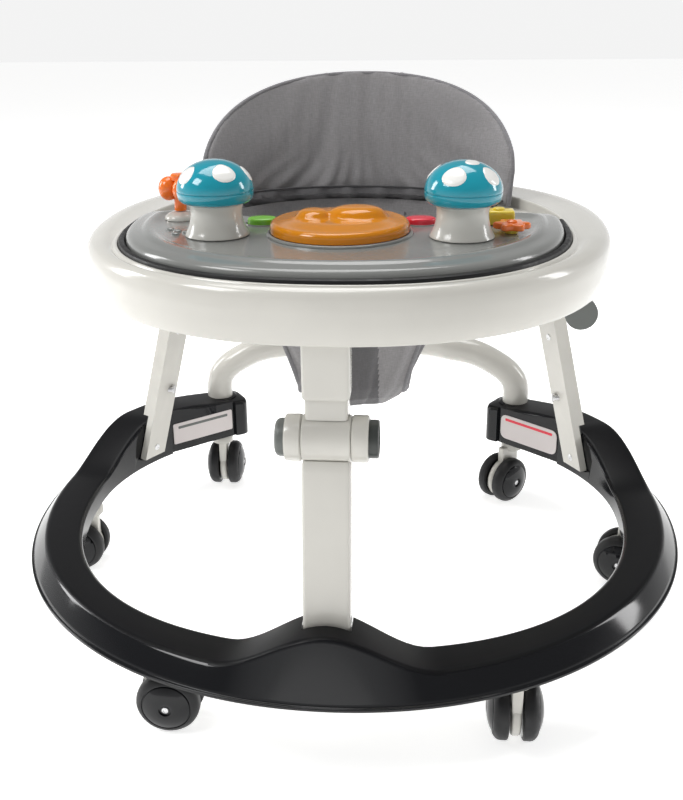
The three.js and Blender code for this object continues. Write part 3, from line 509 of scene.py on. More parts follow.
def leg_sweep():
    """The space that the right leg's foot sweeps through as the walker folds, as one convex solid."""
    pivot = Vector((0, 104.5, 150))
    bm = bmesh.new()
    for degrees in range(0, 61, 10):
        turn = Matrix.Rotation(math.radians(-degrees), 3, "X")
        for u in (-14.6, 14.6):
            for v in (-20, 8.8):
                for z in (77, 125):
                    bm.verts.new(pivot + turn @ (leg_point(u, v, z) - pivot))
    made = bmesh.ops.convex_hull(bm, input=bm.verts)
    bmesh.ops.delete(bm, geom=[g for g in made["geom_interior"] if isinstance(g, bmesh.types.BMVert)])
    bm.verts.index_update()
    part = [tuple(v.co) for v in bm.verts], [tuple(v.index for v in f.verts) for f in bm.faces]
    bm.free()
    return part


def label_place():
    """Where the label sits on the inner face of a rear end, and the directions along and out of it."""
    shape = {**RING_INNER, "power": 2}
    angle = math.radians(40)
    here = Vector((math.cos(angle), math.sin(angle))) * oval_radius(angle, shape)
    there = Vector((math.cos(angle + 0.01), math.sin(angle + 0.01))) * oval_radius(angle + 0.01, shape)
    along = (there - here).normalized()
    inward = Vector((-along.y, along.x))
    return here, along, inward


def slab_on_label(half, low, high, near, far, radius, side):
    here, along, inward = label_place()
    outline = fillet([(-half, low), (half, low), (half, high), (-half, high)], radius, 5)
    sections = []
    for depth in (near, far):
        spots = [here + along * length + inward * depth for length, _ in outline]
        sections.append([(spot.x * side, spot.y, z) for spot, (_, z) in zip(spots, outline)])
    return loft(sections)


def on_ring_top(x, y, z):
    return z > ring_top(math.atan2(y, x)) - 1.6 and z > RING_BOTTOM + 8


def build_base():
    ring = mesh_object("ring_shell", loft(ring_sections()), BLACK)
    cut(ring, block((-18, -274.2, 90), (18, -225, 150), 0.5, 2))
    for _, side in SIDES:
        cut(ring, mirrored(leg_sweep(), side))
        cut(ring, mirrored(block((212, 97, 82.5), (226, 113, 160), 0.4, 1), side))
        cut(ring, slab_on_label(41, RING_BOTTOM - 3, 150, 0, 30, 0.2, side))
    paint(ring, BLACK_SATIN, on_ring_top)
    finish(ring, "base", ["base_ring"], 32)

    half_path = [(167, 194, 92), (167, 194, 108), (167, 194, 124), (163, 194.5, 137), (150, 196, 150)]
    half_path += [(122, 200, 164), (92, 207, 168), (70, 217, 168.5), (36, 225, 170), (0, 228, 170)]
    path = smooth_path(half_path + [(-x, y, z) for x, y, z in reversed(half_path[:-1])], 8)
    piece("tube_smooth", sweep(path, 14, 32), WHITE, "base", ["rear_tube"])
    for name, side in SIDES:
        low, high, corner = (77, 100.5, 2) if side < 0 else (75, 102.5, 8)
        body = slab_on_label(37, low, high, 0.2, 1.0, corner, side)
        label = mesh_object(f"label_plate_{name}", body, LABEL)
        finish(label, "base", [f"label_{name}"])
        border = slab_on_label(31, high - 6.5, high - 3.5, 0.6, 1.15, 1.0, side)
        piece(f"label_band_{name}", border, RED if side > 0 else DARK_GREY, "base")
        collar_ring = [(14.2, 0), (18, 0), (18, 1.6), (16.5, 2.6), (14.2, 2.6)]
        collar = revolve(collar_ring, (side * 167, 194, 108.2), closed=True)
        piece(f"tube_collar_{name}", collar, BLACK, "base")


def place_caster(part, spot):
    x, y, heading = CASTERS[spot]
    turn = Matrix.Rotation(math.radians(heading), 3, "Z")
    return moved(part, lambda p: tuple(turn @ p + Vector((x, y, 0))))


def wheel(side):
    """One wheel of a pair: a rubber tread, a domed disc with a groove, and a sunk screw."""
    profile = [
        (3.2, 5.2), (22, 5.2), (23.6, 5.4), (24.6, 6.0), (25, 7.0), (25, 11.4), (24.6, 13.2), (23.4, 15.0),
        (21.8, 16.4), (20.4, 17.2), (19.6, 17.4), (19.3, 16.8), (18.7, 16.8), (18.4, 17.8), (15.6, 19.3),
        (12, 20.6), (8, 21.5), (5.4, 21.8), (4.9, 21.6), (4.7, 20.4), (2.7, 20.4), (2.5, 21.0), (1.6, 21.3),
        (1.4, 20.9), (0, 20.9),
    ]
    centre = (0, TRAIL, WHEEL_RADIUS)
    return revolve(profile, centre, (side, 0, 0), 48)


def caster_fork():
    disc = [(3.4, -4), (18.5, -4), (20.6, -3.4), (21.5, -2.2), (21.5, 2.2), (20.6, 3.4), (18.5, 4), (3.4, 4)]
    plate = revolve(disc, (0, TRAIL, WHEEL_RADIUS), (1, 0, 0), 48, closed=True)
    neck = block((-4, -6.5, 33), (4, 18, 61.5), 1.2)
    hood = revolve([(0, 57), (10.6, 57), (11.6, 58), (11.6, 64), (10, 66.6), (7, 67.6), (0, 67.6)], (0, 0, 0))
    stem = revolve([(0, 64), (4.5, 64), (4.5, 83.5), (4, 84), (0, 84)], (0, 0, 0), steps=24)
    return merge(plate, neck, hood, stem)


def build_casters():
    for spot, (x, y, heading) in CASTERS.items():
        wheels = mesh_object(f"wheels_{spot}", place_caster(merge(wheel(-1), wheel(1)), spot), BLACK)
        turn = math.radians(heading)
        hub = Vector((x - TRAIL * math.sin(turn), y + TRAIL * math.cos(turn), WHEEL_RADIUS))
        axle = Vector((math.cos(turn), math.sin(turn), 0))

        def distance(px, py, pz):
            out = Vector((px, py, pz)) - hub
            return (out - axle * out.dot(axle)).length

        paint(wheels, TYRE, lambda *p: distance(*p) > 19.9)
        paint(wheels, STEEL, lambda *p: distance(*p) < 2.65 and abs((Vector(p) - hub).dot(axle)) > 18)
        finish(wheels, f"wheels_{spot}", [f"caster_wheels_{spot}"], 30)
        fork = place_caster(caster_fork(), spot)
        piece(f"fork_{spot}", fork, WHITE, f"fork_{spot}", [f"caster_fork_{spot}"])
        bar = revolve([(0, -8), (3, -8), (3, 8), (0, 8)], (0, TRAIL, WHEEL_RADIUS), (1, 0, 0), 20)
        axle_bar = place_caster(bar, spot)
        piece(f"axle_{spot}", axle_bar, STEEL, f"wheels_{spot}")


# ---- Column and legs ----------------------------------------------------------------------


def column_bar(half_width, depth_front, depth_rear, low, high, radius, lean=0.0, taper=0.0):
    """An upright bar with rounded corners; lean is its rearward run per millimetre of height."""
    sections = []
    marks = [0, 0.02, 0.06, 0.5, 0.94, 0.98, 1]
    for share in marks:
        z = low + (high - low) * share
        pinch = 1.2 * (1 - min(1, min(share, 1 - share) / 0.04)) ** 2
        y = KNEE[1] + lean * (z - KNEE[2])
        half = half_width + taper * (1 - share) - pinch
        corners = [(-half, y - depth_front + pinch), (half, y - depth_front + pinch)]
        corners += [(half, y + depth_rear - pinch), (-half, y + depth_rear - pinch)]
        sections.append([(px, py, z) for px, py in fillet(corners, radius, 5)])
    return loft(sections)


def build_column():
    lean = (KNEE[1] - BASE_PIVOT[1]) / (KNEE[2] - BASE_PIVOT[2])
    axis = (1, 0, 0)
    bar = column_bar(17, 12, 12, BASE_PIVOT[2], KNEE[2] - 12.5, 3.2, lean)
    foot = [(3.3, -17), (11, -17), (12, -16), (12, 16), (11, 17), (3.3, 17)]
    foot_part = revolve(foot, BASE_PIVOT, axis, 40, closed=True)
    barrel = [(10.2, -17), (15.6, -17), (16.5, -16.1), (16.5, 16.1), (15.6, 17), (10.2, 17)]
    barrel_part = revolve(barrel, KNEE, axis, 72, closed=True)
    web = revolve([(4.5, -3), (10.4, -3), (10.4, 3), (4.5, 3)], KNEE, axis, 40, closed=True)
    lower = merge(bar, foot_part, barrel_part, web)
    piece("lower_bar", lower, WHITE, "lower_column", ["lower_column"])

    sleeve = column_bar(16.4, 8.5, 14.5, 280, DECK_UNDER - 0.4, 3.0)
    neck = column_bar(14.8, 7, 13, 258, 283, 3.0)
    upper = mesh_object("upper_neck", neck, WHITE)
    cut(upper, revolve([(0, -17.3), (17.1, -17.3), (17.1, 17.3), (0, 17.3)], KNEE, axis, 72))
    finish(upper, "tray", ())
    y, z = KNEE[1], KNEE[2]
    bridge = block((-29, y + 17.6, z - 9), (29, y + 24.5, z + 3), 2)
    upright = block((-14, y + 17.6, z - 4), (14, y + 24.5, z + 32), 1.5)
    shelf = block((-14, y, z + 18), (14, y + 24.5, z + 30), 1.5)
    yoke = merge(bridge, upright, shelf)
    collars = []
    for _, side in SIDES:
        ring = [(10.2, 17.3), (15.4, 17.3), (16.5, 18.3), (16.5, 27.4), (15.9, 28.6), (14.9, 29)]
        ring += [(14, 28.6), (14, 19), (10.2, 19)]
        collars.append(revolve([(r, h * side) for r, h in ring], KNEE, axis, 72, closed=True))
        collars.append(mirrored(block((17.6, y + 6, z - 9.5), (28.6, y + 20, z + 9.5), 1.2), side))
    piece("upper_sleeve", merge(sleeve, yoke, *collars), WHITE, "tray", ["upper_column"])
    for name, side in SIDES:
        face = [(13.4, 32.4), (12.6, 34.4), (11, 35.6), (8, 36), (0, 36)]
        if side > 0:
            face = [(13.4, 34.8), (12.9, 35.6), (12, 36), (9.6, 36), (9.2, 35), (0, 35)]
        crown = [(4.5, 24), (13.4, 24), *face, (0, 32), (4.5, 32)]
        knob = revolve([(r, h * side) for r, h in crown], KNEE, axis, 64, closed=True)
        colour = SHADE_GREY if side > 0 else DARK_GREY
        button = f"knee_button_{name}"
        piece(f"knob_{name}", knob, colour, button, [button])


def dress_cad_nodes():
    """The plain pieces that keep their CAD shape get eased edges and a real finish."""
    for name, _ in SIDES:
        dress(f"side_leg_{name}", WHITE, 0.9)
        dress(f"leg_bracket_{name}", WHITE, 0.6)
        dress(f"leg_post_{name}", DARK_GREY, 0.5)
        dress(f"leg_pin_{name}", STEEL, 0.4)
        dress(f"bracket_pin_{name}", STEEL, 0.4)
        dress(f"lock_gear_{name}", STEEL, 0.2)
    dress("tray_bumper", DARK_GREY, 1.0)
    dress("column_pin", STEEL, 0.4)
    dress("knee_pin", STEEL, 0.4)


def dress(node, material, width):
    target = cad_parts[node]
    target.data.materials.clear()
    target.data.materials.append(material)
    flat = target.modifiers.new("flat", "DECIMATE")
    flat.decimate_type = "DISSOLVE"
    flat.angle_limit = math.radians(2)
    ease_edges = target.modifiers.new("edges", "BEVEL")
    ease_edges.width = width * MM
    ease_edges.segments = 2
    ease_edges.limit_method = "ANGLE"
    ease_edges.angle_limit = math.radians(35)
    ease_edges.harden_normals = True


COIL = {"start": 4.2, "length": 7.6, "radius": 5.6, "wire": 0.7, "turns": 6, "steps": 150, "seat": 3.3}


def build_springs():
    """The coil springs behind the side buttons, which shorten as a button goes in."""
    steps, radius = COIL["steps"], COIL["radius"]
    for name, side in SIDES:
        path = []
        for i in range(steps + 1):
            turn = 2 * math.pi * COIL["turns"] * i / steps
            x = side * (COIL["start"] + COIL["length"] * i / steps)
            path.append((x, KNEE[1] + radius * math.cos(turn), KNEE[2] + radius * math.sin(turn)))
        wire = sweep(path, COIL["wire"], 8)
        coil = piece(f"coil_{name}", wire, STEEL, "lower_column", [f"knee_spring_{name}"], 80)
        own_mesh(coil)


def build_leg_screws():
    for name, side in SIDES:
        for number, height in enumerate((88, 213)):
            centre = leg_point(0, 0.3, height)
            head = [(0, 0), (3.4, 0), (3.4, 0.7), (2.9, 1.1), (1.6, 1.1), (1.2, 0.7), (0, 0.7)]
            screw = revolve(head, tuple(centre), (-0.864, -0.504, -0.14), 24)
            piece(f"leg_screw_{name}_{number}", mirrored(screw, side), STEEL, f"side_leg_{name}")


# ---- Tray ---------------------------------------------------------------------------------


def tray_section(angle):
    outer = edge_radius(angle, TRAY, TRAY["y"])
    recess = edge_radius(angle, RECESS, TRAY["y"])
    hole = edge_radius(angle, SEAT_HOLE, TRAY["y"])
    width = outer - recess
    crown = min(width, 22)
    lip = min(3.0, width * 0.3)
    wall = [
        (outer - 0.6, TRAY_BOTTOM), (outer + 0.6, TRAY_BOTTOM + 0.6), (outer + 2, TRAY_BOTTOM + 4),
        (outer + 3.8, TRAY_BOTTOM + 11), (outer + 4.2, TRAY_BOTTOM + 19), (outer + 3.7, TRAY_BOTTOM + 29),
        (outer + 1.8, TRAY_BOTTOM + 35.5),
    ]
    rim = [
        (outer - 0.16 * crown, TRAY_TOP - 1.5), (outer - 0.55 * crown, TRAY_TOP - 0.6),
        (recess + lip + 1.4, TRAY_TOP - 2.6), (recess + lip, TRAY_TOP - 0.1), (recess + 0.8, TRAY_TOP),
        (recess, TRAY_TOP - 1),
    ]
    deck = [
        (recess, DECK_TOP), (hole + 1, DECK_TOP), (hole, DECK_TOP - 1.5), (hole, DECK_TOP - 14),
        (hole + 3, DECK_TOP - 14), (hole + 3, DECK_UNDER),
    ]
    inside = [
        (outer - 3.5, DECK_UNDER), (outer, DECK_UNDER - 5), (outer + 1, TRAY_BOTTOM + 17),
        (outer - 3, TRAY_BOTTOM),
    ]
    profile = wall + rim + deck + inside
    radii = [0.3, 0.5, 3, 3, 6, 5, 5, 4, 3, 0.7, 0.5, 0.6, 0.6, 1, 0.5, 0.7, 0.6, 0.6, 0.6, 1, 2, 3, 0.5]
    return [
        (r * math.cos(angle), TRAY["y"] + r * math.sin(angle), z) for r, z in fillet(profile, radii, 2)
    ]


def outline_of(shape, inset, angles):
    made = []
    for angle in angles:
        along = shape["front"] if math.sin(angle) < 0 else shape["rear"]
        radius = reach(angle, shape["across"] - inset, along - inset, shape["power"])
        made.append((radius * math.cos(angle), shape["y"] + radius * math.sin(angle)))
    return made


def resample(points, count):
    """Points spaced evenly along an open line."""
    lengths = [0.0]
    for a, b in zip(points, points[1:]):
        lengths.append(lengths[-1] + math.dist(a, b))
    made, k = [], 0
    for i in range(count):
        mark = lengths[-1] * i / (count - 1)
        while k < len(points) - 2 and lengths[k + 1] < mark:
            k += 1
        t = (mark - lengths[k]) / max(1e-9, lengths[k + 1] - lengths[k])
        made.append(tuple(p + (q - p) * t for p, q in zip(points[k], points[k + 1])))
    return made


def toy_outline(inset, round_corners=7):
    """The toy tray's edge: round in front, curved round the seat hole behind."""
    angles = [math.radians(45 - 270 * i / 240) for i in range(241)]
    rear_line = TOY_REAR - inset
    shape = {**RECESS, "rear": RECESS["rear"] + inset}
    front = [p for p in outline_of(shape, inset, angles) if p[1] < rear_line]
    side = -front[-1][0]
    rear = []
    clearance = 7 + inset
    for i in range(61):
        x = -side + 2 * side * i / 60
        across = min(1, abs(x) / (SEAT_HOLE["across"] + clearance))
        edge = SEAT_HOLE["y"] - (SEAT_HOLE["front"] + clearance) * math.sqrt(1 - across ** 2)
        rear.append((x, min(rear_line, edge)))
    outline = resample(front, 130) + resample(rear, 70)[1:-1]
    for _ in range(round_corners):
        before, after = outline[-1:] + outline[:-1], outline[1:] + outline[:1]
        outline = [
            tuple(b * 0.5 + (a + c) * 0.25 for a, b, c in zip(*near)) for near in zip(before, outline, after)
        ]
    return outline


def build_tray():
    steps = 192
    sections = [tray_section(2 * math.pi * i / steps) for i in range(steps)]
    piece("tray_shell", loft(sections, closed=True), WHITE, "tray", ["tray_ring"], 50)

    angles = [math.radians(9 - 198 * i / 150) for i in range(151)]
    strips = [(0.3, 350.5), (0.3, 360.2), (1.1, 361.8), (3, 362.5), (4.9, 361.8), (5.6, 360.2), (5.6, 350.5)]
    lines = [[(x, y, z) for x, y in outline_of(RECESS, inset, angles)] for inset, z in strips]
    piece("seal_strip", loft([list(s) for s in zip(*lines)]), SEAL, "tray", ["tray_gasket"])

    levels = [(6.2, 350.4), (6.0, 359), (6.1, 362.4), (6.7, 364.6), (8.2, 366.3), (10.2, 367.1)]
    levels += [(13, 367.5), (17.5, 368.1), (19, 368.5), (20.4, 369.5), (22.4, 370), (25, 370)]
    levels += [(27.5, 369.3), (30, 368.4), (34, 368)]
    sections = [[(x, y, z) for x, y in toy_outline(inset)] for inset, z in levels]
    toy_tray = mesh_object("toy_deck", loft(sections), TOY_GREY)
    for x, y, _, _ in TOY_KEYS.values():
        cut(toy_tray, pillow(ellipse(x, y, 12.5, 9.5), 360, 380, 0.1, 1))
    finish(toy_tray, "tray", ["toy_tray"], 30)


# ---- Toys ---------------------------------------------------------------------------------

TOY_KEYS = {"green": (-63, -97, 12, 9), "red": (60, -92, 12, 9)}
CAP_BASE = TOY_TOP + 24.6
CAP = [
    (22.5, 0.1), (25.4, 0.9), (27.2, 2.6), (28.1, 5.0), (28.4, 7.6), (28.3, 8.5), (27.8, 8.8), (27.8, 9.2),
    (28.35, 9.5), (28.4, 10.4), (28.1, 12.8), (27.1, 16), (25.1, 19.8), (22.1, 23.2), (18.1, 26.3),
    (13.3, 28.7), (8, 30.3), (3.5, 30.9), (0, 31),
]


def cap_surface(height_share):
    """The radius and height of the mushroom cap's dome, from rim (0) to top (1)."""
    dome = CAP[9:]
    where = height_share * (len(dome) - 1)
    i = min(int(where), len(dome) - 2)
    t = where - i
    radius = dome[i][0] + (dome[i + 1][0] - dome[i][0]) * t
    height = dome[i][1] + (dome[i + 1][1] - dome[i][1]) * t
    return radius, height


def cap_dot(x, y, turn, share, size, flat=1.0):
    """A thin raised spot that follows the cap's dome."""
    rings, sides = 6, 28
    centre_r = cap_surface(share)[0]
    grid = []
    for ring in range(rings + 1):
        line = []
        for k in range(sides):
            angle = 2 * math.pi * k / sides
            out = size * ring / rings
            d_share = out * math.sin(angle) * flat / 40
            r, z = cap_surface(min(1, max(0, share + d_share)))
            swing = math.radians(turn) + out * math.cos(angle) / max(centre_r, 8)
            lift = 0.45 if ring < rings else -0.5
            rise = Vector((r, z - 6)).normalized() * lift
            away = r + rise.x
            line.append((x + away * math.cos(swing), y + away * math.sin(swing), CAP_BASE + z + rise.y))
        grid.append(line)
    return loft(grid)


def build_mushrooms():
    spots = {
        "left": [(-59, 0.48, 9.3, 0.95), (-141, 0.40, 8.5, 1.0), (75, 0.45, 9, 1.0), (8, 0.36, 7.5, 1.0)],
        "right": [
            (-110, 0.43, 9.8, 0.9), (-46, 0.80, 6.5, 0.8), (-34, 0.40, 8.2, 1.05), (70, 0.45, 9, 1.0),
            (165, 0.4, 8, 1.0),
        ],
    }
    stem = [
        (0, 0.3), (23.6, 0.3), (24, 0.8), (23.7, 1.8), (22.6, 3.6), (21.4, 6), (20.3, 9), (19.5, 12.5),
        (19.1, 16.5), (19.4, 20.5), (20.2, 23.4), (19.8, 24.1), (7, 24.1), (7, 31.8), (6.4, 32.3), (0, 32.3),
    ]
    for name, side in SIDES:
        x, y = 91 * side, -138
        stalk = revolve([(r, h + TOY_TOP) for r, h in stem], (x, y, 0), steps=64)
        piece(f"stalk_{name}", stalk, WHITE, "tray", [f"mushroom_stem_{name}"], 30)
        profile = [(0, 9), (7.4, 9), (7.4, 0.1)] + CAP
        cap = revolve([(r, h + CAP_BASE) for r, h in profile], (x, y, 0), steps=72)
        piece(f"cap_{name}", cap, TEAL, f"mushroom_cap_{name}", [f"mushroom_cap_{name}"], 30)
        dots = merge(*(cap_dot(x, y, *spot) for spot in spots[name]))
        piece(f"cap_dots_{name}", dots, DOT_WHITE, f"mushroom_cap_{name}", (), 60)


def dome_height(x, y):
    """The lamp cover's height over the toy tray: a shallow lens with two soft raised shapes."""
    r = math.hypot(x, y)
    base = 9.5 + 2.5 * ease(49.5 - r, 0, 22) if r < 49.5 else 9.5 - 3.0 * ((r - 49.5) / 3.0) ** 2
    bumps = []
    for cx, cy, across, along, high in ((-20, 0, 13.5, 15, 17.5), (13, 3, 23, 18, 19.3)):
        d = ((x - cx) / across) ** 2 + ((y - cy) / along) ** 2
        if d < 1:
            bumps.append(9.5 + (high - 9.5) * (1 - d ** 2) ** 0.5)
    return max([base, *bumps])


def build_dome():
    sides, cx, cy = 120, 0, -127
    radii = [0.01] + [1.5 * i for i in range(1, 33)] + [49, 49.8, 50.6, 51.4, 52, 52.4, 52.5]
    sections = []
    for r in radii:
        ring = []
        for k in range(sides):
            a = 2 * math.pi * k / sides
            x, y = r * math.cos(a), r * math.sin(a)
            ring.append((cx + x, cy + y, TOY_TOP + 0.3 + dome_height(x, y)))
        sections.append(ring)
    sections.append([(x, y, TOY_TOP + 0.35) for x, y, _ in sections[-1]])
    dome = mesh_object("lamp_cover", loft(sections), AMBER)
    soften = dome.modifiers.new("soften", "SMOOTH")
    soften.factor = 0.5
    soften.iterations = 4
    bake(dome)
    finish(dome, "tray", ["lamp_dome"], 60)
    band = [(52.9, 0.2), (55.6, 0.2), (55.2, 1.4), (54.4, 1.9), (53.3, 1.9), (52.9, 1.4)]
    collar = revolve(band, (cx, cy, TOY_TOP), steps=96, closed=True)
    piece("lamp_collar", collar, TOY_GREY, "tray")


def petals(x, y, radius, count, depth, steps=96):
    made = []
    for i in range(steps):
        a = 2 * math.pi * i / steps
        r = radius - depth * (0.5 - 0.5 * math.cos(count * a))
        made.append((x + r * math.cos(a), y + r * math.sin(a)))
    return made


def build_small_toys():
    for (name, (x, y, across, along)), material in zip(TOY_KEYS.items(), (GREEN, RED)):
        body = pillow(ellipse(x, y, across, along, 56), TOY_TOP - 4, TOY_TOP + 5.2, 1.8, 5)
        piece(f"key_{name}", body, material, f"button_{name}", [f"button_{name}"])
        rim = [(across + 0.9, 0), (across + 2.6, 0), (across + 2.3, 0.8), (across + 1.2, 0.9)]
        ring = revolve(rim, (0, 0, TOY_TOP), steps=56, closed=True)
        ring = moved(ring, lambda p: (x + p.x, y + p.y * 0.8, p.z))
        piece(f"key_rim_{name}", ring, TOY_GREY, "tray")
    x, y, z = -132, -80, TOY_TOP + 0.3
    base = [(0, 0), (13, 0), (13, 1), (12.2, 2.8), (10, 4.4), (7, 5.6), (4, 6.3), (0, 6.4)]
    foot = revolve([(r, h + z) for r, h in base], (x, y, 0))
    piece("spinner_foot", foot, WHITE, "tray", ["spinner_base"])
    lobes = []
    for i in range(3):
        turn = math.radians(60 + 120 * i)
        ball = [(8.2 * math.sin(math.pi * k / 16), 24 - 9.5 * math.cos(math.pi * k / 16)) for k in range(17)]
        lobes.append(revolve(ball, (x + 8.6 * math.cos(turn), y + 8.6 * math.sin(turn), z), steps=36))
    shaft = revolve([(0, 6.8), (4.6, 6.8), (5, 7.6), (4.6, 12), (4.8, 33), (0, 33)], (x, y, z), steps=32)
    knob = revolve([(0, 31), (6.5, 31), (6.5, 34.6), (5.4, 35.8), (0, 36.3)], (x, y, z), steps=32)
    piece("spinner_top", merge(shaft, knob, *lobes), ORANGE, "spinner", ["spinner"])
    x, y = 128, -124
    hub = revolve([(0, 0), (5, 0), (5, 2.6), (4.6, 3), (0, 3)], (x, y, z), steps=32)
    piece("flower_boss", hub, YELLOW, "tray", ["flower_hub"])
    flower = pillow(petals(x, y, 14, 6, 4), z + 3.3, z + 8, 1.6, 4, 0.6)
    eye = revolve([(0, 7.6), (4, 7.6), (4, 8.6), (3, 9.6), (0, 10)], (x, y, z), steps=32)
    piece("flower_top", merge(flower, eye), ORANGE, "flower_gear", ["flower_gear"])
    brick = block((108, -100, z), (132, -84, z + 11), 1.8, 4)
    stud = revolve([(0, 10.6), (4.6, 10.6), (4.6, 12), (4, 12.6), (0, 12.8)], (120, -92, z), steps=32)
    piece("yellow_brick", merge(brick, stud), YELLOW, "tray", ["toy_block"])
    bump = [(0, 0), (3.4, 0), (3, 1.1), (1.8, 1.8), (0, 2)]
    places = ((0, 0), (8, -5), (-7, 6), (1, -11))
    bumps = [revolve(bump, (-124 + dx, -128 + dy, TOY_TOP), steps=24) for dx, dy in places]
    piece("tray_bumps", merge(*bumps), TOY_GREY, "tray")


# ---- Seat ---------------------------------------------------------------------------------

BACK = {
    "y": 20, "across": 152, "along": 123, "thick": 12, "bottom": 352, "top": 466, "edge": 385, "reach": 72,
}


def back_point(degrees, share, inset):
    """A point on the backrest: angle from straight back, height share 0 to 1, depth from its outside."""
    part = min(1, abs(degrees) / BACK["reach"])
    top = BACK["edge"] + (BACK["top"] - BACK["edge"]) * (1 - part ** 2.2) ** 0.7
    z = BACK["bottom"] + (top - BACK["bottom"]) * share
    lean = 0.28 * (z - BACK["bottom"])
    angle = math.radians(90 - degrees)
    x = (BACK["across"] - inset + lean * 0.3) * math.cos(angle)
    y = BACK["y"] + (BACK["along"] - inset + lean) * math.sin(angle)
    return x, y, z


def backrest_shell():
    sections = []
    steps = 96
    for i in range(steps + 1):
        degrees = -BACK["reach"] + 2 * BACK["reach"] * i / steps
        end = max(0.0, (abs(degrees) - 66) / 6)
        full = math.sqrt(max(0.04, 1 - end ** 2))
        section = []
        for k in range(28):
            turn = 2 * math.pi * (k + 0.5) / 28
            height = 0.5 + 0.5 * math.copysign(abs(math.sin(turn)) ** 0.55, math.sin(turn))
            out = math.copysign(abs(math.cos(turn)) ** 0.7, math.cos(turn))
            slim = 0.80 - 0.22 * height ** 3
            section.append(back_point(degrees, height, 6 - out * 5.6 * slim * full))
        sections.append(section)
    return loft(sections)


def puff(made, voxel, pressure, cap, held):
    """Inflates a closed soft piece with a short cloth simulation; held picks the points that stay."""
    remesh = made.modifiers.new("remesh", "REMESH")
    remesh.mode = "VOXEL"
    remesh.voxel_size = voxel * MM
    bake(made)
    start = [v.co.copy() for v in made.data.vertices]
    group = made.vertex_groups.new(name="held")
    group.add([i for i, co in enumerate(start) if held(*(co / MM))], 1.0, "REPLACE")
    cloth = made.modifiers.new("cloth", "CLOTH")
    cloth.settings.quality = 5
    cloth.settings.mass = 0.2
    cloth.settings.tension_stiffness = 12
    cloth.settings.compression_stiffness = 8
    cloth.settings.bending_stiffness = 0.4
    cloth.settings.use_pressure = True
    cloth.settings.uniform_pressure_force = pressure
    cloth.settings.vertex_group_mass = "held"
    cloth.settings.effector_weights.gravity = 0
    cloth.point_cache.frame_start, cloth.point_cache.frame_end = 1, 20
    for step in range(1, 21):
        bpy.context.scene.frame_set(step)
    evaluated = made.evaluated_get(bpy.context.evaluated_depsgraph_get())
    ends = [v.co.copy() for v in evaluated.data.vertices]
    made.modifiers.clear()
    bpy.context.scene.frame_set(1)
    for vertex, a, b in zip(made.data.vertices, start, ends):
        step = b - a
        limit = cap * MM
        vertex.co = a + (step if step.length < limit else step.normalized() * limit)
    finer = made.modifiers.new("finer", "SUBSURF")
    finer.levels = finer.render_levels = 1
    bake(made)


def wrinkle(made, strength):
    """Long soft creases that fade towards the top edge, as cloth over thin foam shows."""
    for vertex in made.data.vertices:
        x, y, z = vertex.co.x / MM, vertex.co.y / MM - RING_CENTRE_Y, vertex.co.z / MM
        angle = math.degrees(math.atan2(x, y - BACK["y"]))
        low = 1 - ease(z, 352, 440)
        slant = angle + 0.55 * (z - BACK["bottom"]) * math.sin(angle * 0.045)
        wave = math.sin(slant * 0.13 + 0.6) + 0.55 * math.sin(slant * 0.27 + z * 0.025 + 1.3)
        pucker = math.sin(slant * 0.62 + 1.2 * math.sin(angle * 0.1)) * (1 - ease(z, 362, 400))
        pull = strength * ((0.35 + 0.65 * low) * wave * 0.5 + 0.22 * pucker)
        out = Vector((x, y - BACK["y"], 0)).normalized()
        vertex.co += out * pull * MM


def build_backrest():
    shell = mesh_object("back_cushion", backrest_shell(), CLOTH)
    def held(x, y, z):
        degrees = math.degrees(math.atan2(x, y - RING_CENTRE_Y - BACK["y"]))
        top = back_point(degrees, 1, 6)[2]
        return z > top - 6 or z < BACK["bottom"] + 5
    puff(shell, 3.2, 4, 4.5, held)
    wrinkle(shell, 3.4)
    finish(shell, None, ["seat_backrest"], 80)
    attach(shell, "tray")
    steps = 140
    line = [back_point(-BACK["reach"] + 2 * BACK["reach"] * i / steps, 0.975, 5.5) for i in range(steps + 1)]
    ends = []
    for sign in (-1, 1):
        side = sign * (BACK["reach"] - 0.6)
        ends.append([back_point(side, share, 6) for share in (0.04, 0.25, 0.5, 0.75, 0.9)])
    path = resample(smooth_path(ends[0] + line[2:-2:3] + ends[1][::-1], 3), 200)
    piece("back_piping", sweep(path, 2.0, 12), PIPING, "tray", (), 80)


def cut_of(rings):
    """Length round, depth and area, in metres, of a sheet given as closed rings from edge to edge."""
    rings = [[Vector(point) for point in (*ring, ring[0])] for ring in rings]
    around = max(line_length(ring) for ring in rings)
    deep = max(line_length(column) for column in zip(*rings))
    area = 0.0
    for upper, lower in zip(rings, rings[1:]):
        for k in range(len(upper) - 1):
            area += (lower[k + 1] - upper[k]).cross(lower[k] - upper[k + 1]).length / 2
    return around * MM, deep * MM, area * MM * MM


def line_length(points):
    return sum((b - a).length for a, b in zip(points, points[1:]))


def opening_area(loop):
    """Flat area in square metres of the opening inside a closed loop."""
    total = Vector((0, 0, 0))
    for a, b in zip(loop, loop[1:] + loop[:1]):
        total += a.cross(b) / 2
    return total.length * MM * MM


